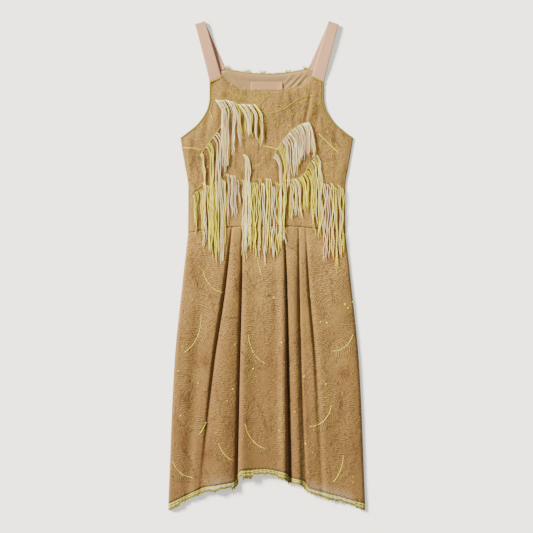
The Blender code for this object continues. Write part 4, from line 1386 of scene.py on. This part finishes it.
def hemTrimSpots(line):
    sewn = line - [0, hem["gap"], 0]
    drops = []
    for n, x in enumerate(line[:, 0]):
        tab = max([t[2] for t in hem["tabs"] if t[0] <= x <= t[1]] + [0])
        drop = hem["width"] + lash(n * 0.21, *hem["lashes"])
        drops.append(drop + tab * (0.85 + 0.15 * math.sin(n)))
    tips = sewn - np.stack([np.zeros(len(drops)), drops, np.zeros(len(drops))], axis=-1)
    tips[:, 1] = np.maximum(tips[:, 1], hem["lowest"] + 0.2)
    share = np.linspace(0, 1, 9)[:, None, None]
    return tips * (1 - share) + sewn * share


def hemLashes(line):
    hairs = []
    for x, y, z in line[:-1]:
        if chance.random() < hem["missing"]:
            continue
        long = min(chance.uniform(*hem["reach"]), y - hem["lowest"] - 0.3)
        if long < hem["shortest"]:
            continue
        lean = chance.uniform(-1.0, 1.0)
        low = z + hem["lift"] * chance.uniform(0.2, 0.8)
        start, middle = (x, y + 1.5, z + hem["lift"]), (x + lean, y - long * 0.5, low)
        end = (x + lean * 1.6, y - long, max(low - 0.6, 0.4))
        radius = chance.uniform(*hem["hairRadius"])
        hairs.append(([start, middle, end], radius, chance.choice(yarnMix)))
    return hairs


fineColumns = np.linspace(0, lineCount - 1, 601)
frontHemLine = skirtSpots(np.array([1.0]), fineColumns)[0]
backX = np.linspace(-1, 1, 401) * skirt["lines"][-1][3]
backHemLine = np.stack([backX, backHem(np.abs(backX)), np.zeros_like(backX)], axis=-1)
hemPieces = {}
for face, line in (("front", frontHemLine), ("back", backHemLine)):
    spots = hemTrimSpots(line)
    thin = np.zeros_like(spots[..., 0])
    for x0, x1 in lace["sheerHem"]:
        near = np.clip((spots[..., 0] - x0) / 8, 0, 1) * np.clip((x1 - spots[..., 0]) / 8, 0, 1)
        thin = np.maximum(thin, near)
    name, nodes, marks = f"hemTrim.{face}", [f"hem_trim_{face}"], {"sheerness": thin}
    trim = gridPiece(name, spots, picotTrim, nodes, hem["wall"][face], marks)
    lashes = threadPiece(f"hemLashes.{face}", hemLashes(spots[0]), silks)
    hemPieces[face] = [trim, lashes]
picots = []
for x, y, z in frontHemLine[4 : -4 : hem["picotEvery"]]:
    height = settle(x, y + 3.0) + 0.3
    ends = [(x - 0.8, y + 2.6, height), (x + 0.8, y + 3.4, height)]
    picots.append((ends, hem["picotRadius"], 0))
darkThread = makeThread("oliveBrownThread", "edgingDark", "paintedShadeBrown", 0.7, 0.0, 0.0)
hemPieces["front"].append(threadPiece("hemPicots", picots, [darkThread]))
print("hems trimmed")

# embroidery on the lace: stitched lines, leaf stems and small knots (mm)
embroidery = {
    # a line's points, its thickness and its finish
    "lines": [
        ([(-209, 295.5), (-185, 294), (-161, 289)], 0.75, 2),
        ([(-10, 300), (8, 296), (30, 291)], 1.15, 2),
        ([(-128, 414), (-112, 419), (-92, 416), (-74, 408), (-55, 404), (-29, 398)], 0.75, 3),
        ([(-29, 398), (-16, 387), (7, 382), (40, 390), (65, 407), (94, 422), (127, 426)], 0.65, 3),
        ([(131, 329), (150, 310), (164, 296), (181, 283)], 0.68, 2),
        ([(148, 258), (172, 246), (201, 229)], 0.8, 3),
        ([(-142, 387), (-137, 376), (-134, 366)], 1.1, 3),
        ([(-66, 216), (-58, 213), (-50, 214)], 0.9, 3),
    ],
    "lineRadius": 1.3,
    "stemRadius": 0.58,
    "stemBend": 1.5,
    # loose short stitches: how many, from y to y and how they crowd, then their own spans
    "scribbles": {
        "count": 420,
        "y": (110, 445),
        "power": 0.7,
        "long": (3, 10),
        "curl": (-1.2, 1.2),
        "radius": (0.4, 0.7),
    },
    # yellow part of a leaf's stem: leaf number, from share, to share
    "stems": [
        (0, 0.45, 1.0), (1, 0.35, 1.0), (2, 0.4, 1.0), (3, 0.4, 1.0), (4, 0.45, 1.0), (5, 0.5, 1.0),
        (6, 0.4, 1.0), (7, 0.65, 0.95), (8, 0.4, 1.0), (9, 0.4, 1.0), (10, 0.2, 0.6),
    ],
    # sprays of short stitches: x, y, heading of the spray, how many
    "sprays": {
        "fan": 28,
        "lean": (-25, 25),
        "shift": (-5, 5),
        "long": (5, 11),
        "curl": (-0.5, 0.5),
        "radius": (0.5, 0.8),
        "places": [
            (-73, 426, 60, 3), (-66, 415, 50, 3), (57, 438, 80, 3), (66, 436, 100, 3),
            (51, 376, 75, 3), (66, 374, 85, 3), (36, 412, -50, 3), (130, 402, 80, 3),
            (150, 352, 60, 4), (-134, 378, -70, 3), (10, 428, 90, 4), (-30, 425, 80, 4),
            (-8, 365, 20, 3), (22, 360, 70, 3), (112, 380, 100, 3), (160, 300, 40, 4),
            (140, 250, 70, 4), (-20, 250, 100, 4), (0, 236, 60, 4), (-100, 270, 70, 3),
            (-150, 240, 80, 3), (172, 196, 80, 3), (-94, 436, 110, 3), (98, 452, 70, 3),
            (-116, 448, 100, 3), (0, 200, 80, 3), (-30, 330, 80, 3),
        ],
    },
    # small knots, each with a loop of loose dots round it
    "knots": {
        "size": 1.5,
        "radius": 0.85,
        "dots": 7,
        "dotReach": (4, 15),
        "dotRadius": 0.6,
        "loopTall": 1.4,
        "places": [
            (18, -79), (110, -76), (134, -139), (203, -105), (-79, -195), (37, -190), (93, -275),
            (-84, -306), (-220, -262), (-170, -292), (-214, -373), (70, -363), (31, -409),
            (97, -442), (148, -294), (-34, -256), (-98, -335), (196, -95), (150, -141), (214, -90),
        ],
    },
}


def smoothRoute(points, step=2.5):
    # a route through the given points, cut into even short lengths on the cloth
    points = np.array(points, float)
    lengths = np.concatenate([[0], np.cumsum(np.hypot(*np.diff(points, axis=0).T))])
    along = np.arange(0, lengths[-1], step)
    if len(points) > 2:
        return np.stack([smoothCurve(lengths, part)(along) for part in points.T], axis=-1)
    return np.stack([np.interp(along, lengths, part) for part in points.T], axis=-1)


def stemRoute(number, start, end, steps=60):
    # a stem that runs straight at first and bends over towards its tip
    x, y, heading, length, bend = lace["leaves"][number][:5]
    first, turn = math.radians(heading), math.radians(bend * embroidery["stemBend"])
    route = []
    for n in range(steps):
        share = (n + 0.5) / steps
        angle = first + turn * share**2
        x += length / steps * math.cos(angle)
        y += length / steps * math.sin(angle)
        if start <= share <= end:
            route.append((x, y))
    return route


def curledRoute(x, y, angle, long, curl):
    route = []
    for share in np.linspace(0, 1, 5):
        turned = angle + curl * share
        route.append((x + long * share * math.cos(turned), y + long * share * math.sin(turned)))
    return route


def onFront(route):
    # whether a route stays below the front neckline
    half = bodice["frontSeam"][0]
    return all(frontNeck(min(abs(x) / half, 1)) > y + 1 for x, y in route)


def stitchedLine(route, radius, finish):
    # a couched cord: it lies on the cloth and dips a little at every other stitch
    points = []
    for n, (x, y) in enumerate(route):
        dip = 0.25 * math.sin(n * 2.1)
        side = 0.6 * radius * (-1) ** n
        points.append((x + side, y + side, settle(x, y) + 0.35 * radius + dip))
    return points, radius, finish


def scribbleStitches(settings):
    # loose short stitches of yarn all over the bodice
    stitches = []
    low, high = settings["y"]
    for n in range(settings["count"]):
        y = low + (high - low) * chance.random() ** settings["power"]
        half = float(armHalf(y)) - 10 if y > bodice["underarm"] else float(sideHalf(y)) - 8
        x = chance.uniform(-1, 1) * half
        angle, long = chance.uniform(0, math.pi), chance.uniform(*settings["long"])
        route = curledRoute(x, y, angle, long, chance.uniform(*settings["curl"]))
        if onFront(route):
            stitches.append(stitchedLine(route, chance.uniform(*settings["radius"]), lime))
    return stitches


def sprayStitches(settings):
    # short stitches in small sprays
    stitches = []
    for x, y, heading, count in settings["places"]:
        for n in range(count):
            fan = settings["fan"] * (n - (count - 1) / 2)
            angle = math.radians(heading + chance.uniform(*settings["lean"]) + fan)
            startX = x + chance.uniform(*settings["shift"])
            startY = y + chance.uniform(*settings["shift"])
            long, curl = chance.uniform(*settings["long"]), chance.uniform(*settings["curl"])
            route = curledRoute(startX, startY, angle, long, curl)
            if onFront(route):
                stitches.append(stitchedLine(route, chance.uniform(*settings["radius"]), lime))
    return stitches


def knotStitches(settings):
    # a star of three stitches for each knot, and loose dots in a loop round it
    stitches = []
    for x, y in settings["places"]:
        for n in range(3):
            angle = n * 2.1 + chance.uniform(-0.5, 0.5)
            reach = settings["size"] * chance.uniform(0.7, 1.6)
            z = settle(x, y) + 0.5
            overX, overY = reach * math.cos(angle), reach * math.sin(angle)
            ends = [(x - overX, y - overY, z - 0.2), (x, y, z + 0.5)]
            ends.append((x + overX, y + overY, z - 0.2))
            stitches.append((ends, settings["radius"], yellow))
        for n in range(settings["dots"]):
            angle, reach = chance.uniform(0, 2 * math.pi), chance.uniform(*settings["dotReach"])
            spotX = x + reach * math.cos(angle)
            spotY = y + settings["loopTall"] * reach * math.sin(angle)
            z = settle(spotX, spotY) + 0.3
            ends = [(spotX - 0.7, spotY, z), (spotX + 0.7, spotY + 0.5, z)]
            stitches.append((ends, settings["dotRadius"], lime))
    return stitches


stitched = []
for points, thick, finish in embroidery["lines"]:
    route = smoothRoute(points)
    stitched.append(stitchedLine(route, embroidery["lineRadius"] * thick, finish))
for stem in embroidery["stems"]:
    stitched.append(stitchedLine(stemRoute(*stem), embroidery["stemRadius"], yellow))
stitched += scribbleStitches(embroidery["scribbles"])
stitched += sprayStitches(embroidery["sprays"])
stitched += knotStitches(embroidery["knots"])
stitchedPiece = threadPiece("stitchedLines", stitched, silks)
print("embroidery laid")
# plain soft studio light and floor
studio = {
    "sunPower": 17.0,
    "sunAngle": 14,
    "sunTravels": (0.76, -0.46, -0.5),
    "sunPlace": (-1.5, 1.5, 2.0),
    "skyPower": 0.6,
    "floorGlow": 0.45,
    "floorSize": 3.0,
    "floorDepth": 0.3,  # mm below the dress
}


def makeStudio(settings):
    sun = bpy.data.lights.new("studioKey", "SUN")
    sun.energy = settings["sunPower"]
    sun.angle = math.radians(settings["sunAngle"])
    holder = bpy.data.objects.new("studioKey", sun)
    holder.rotation_euler = Vector(settings["sunTravels"]).to_track_quat("-Z", "Y").to_euler()
    holder.location = settings["sunPlace"]
    bpy.context.scene.collection.objects.link(holder)
    world = bpy.data.worlds.new("paleRoom")
    bpy.context.scene.world = world
    world.use_nodes = True
    sky = world.node_tree.nodes["Background"]
    sky.inputs["Color"].default_value = dye["skyLight"]
    sky.inputs["Strength"].default_value = settings["skyPower"]
    work = bmesh.new()
    bmesh.ops.create_grid(work, x_segments=1, y_segments=1, size=settings["floorSize"])
    bmesh.ops.translate(work, verts=work.verts, vec=(0, 0, -settings["floorDepth"] * mm))
    mesh = bpy.data.meshes.new("studioFloor")
    work.to_mesh(mesh)
    work.free()
    mesh.materials.append(makeFloor(settings["floorGlow"]))
    floor = bpy.data.objects.new("studioFloor", mesh)
    bpy.context.scene.collection.objects.link(floor)


makeStudio(studio)
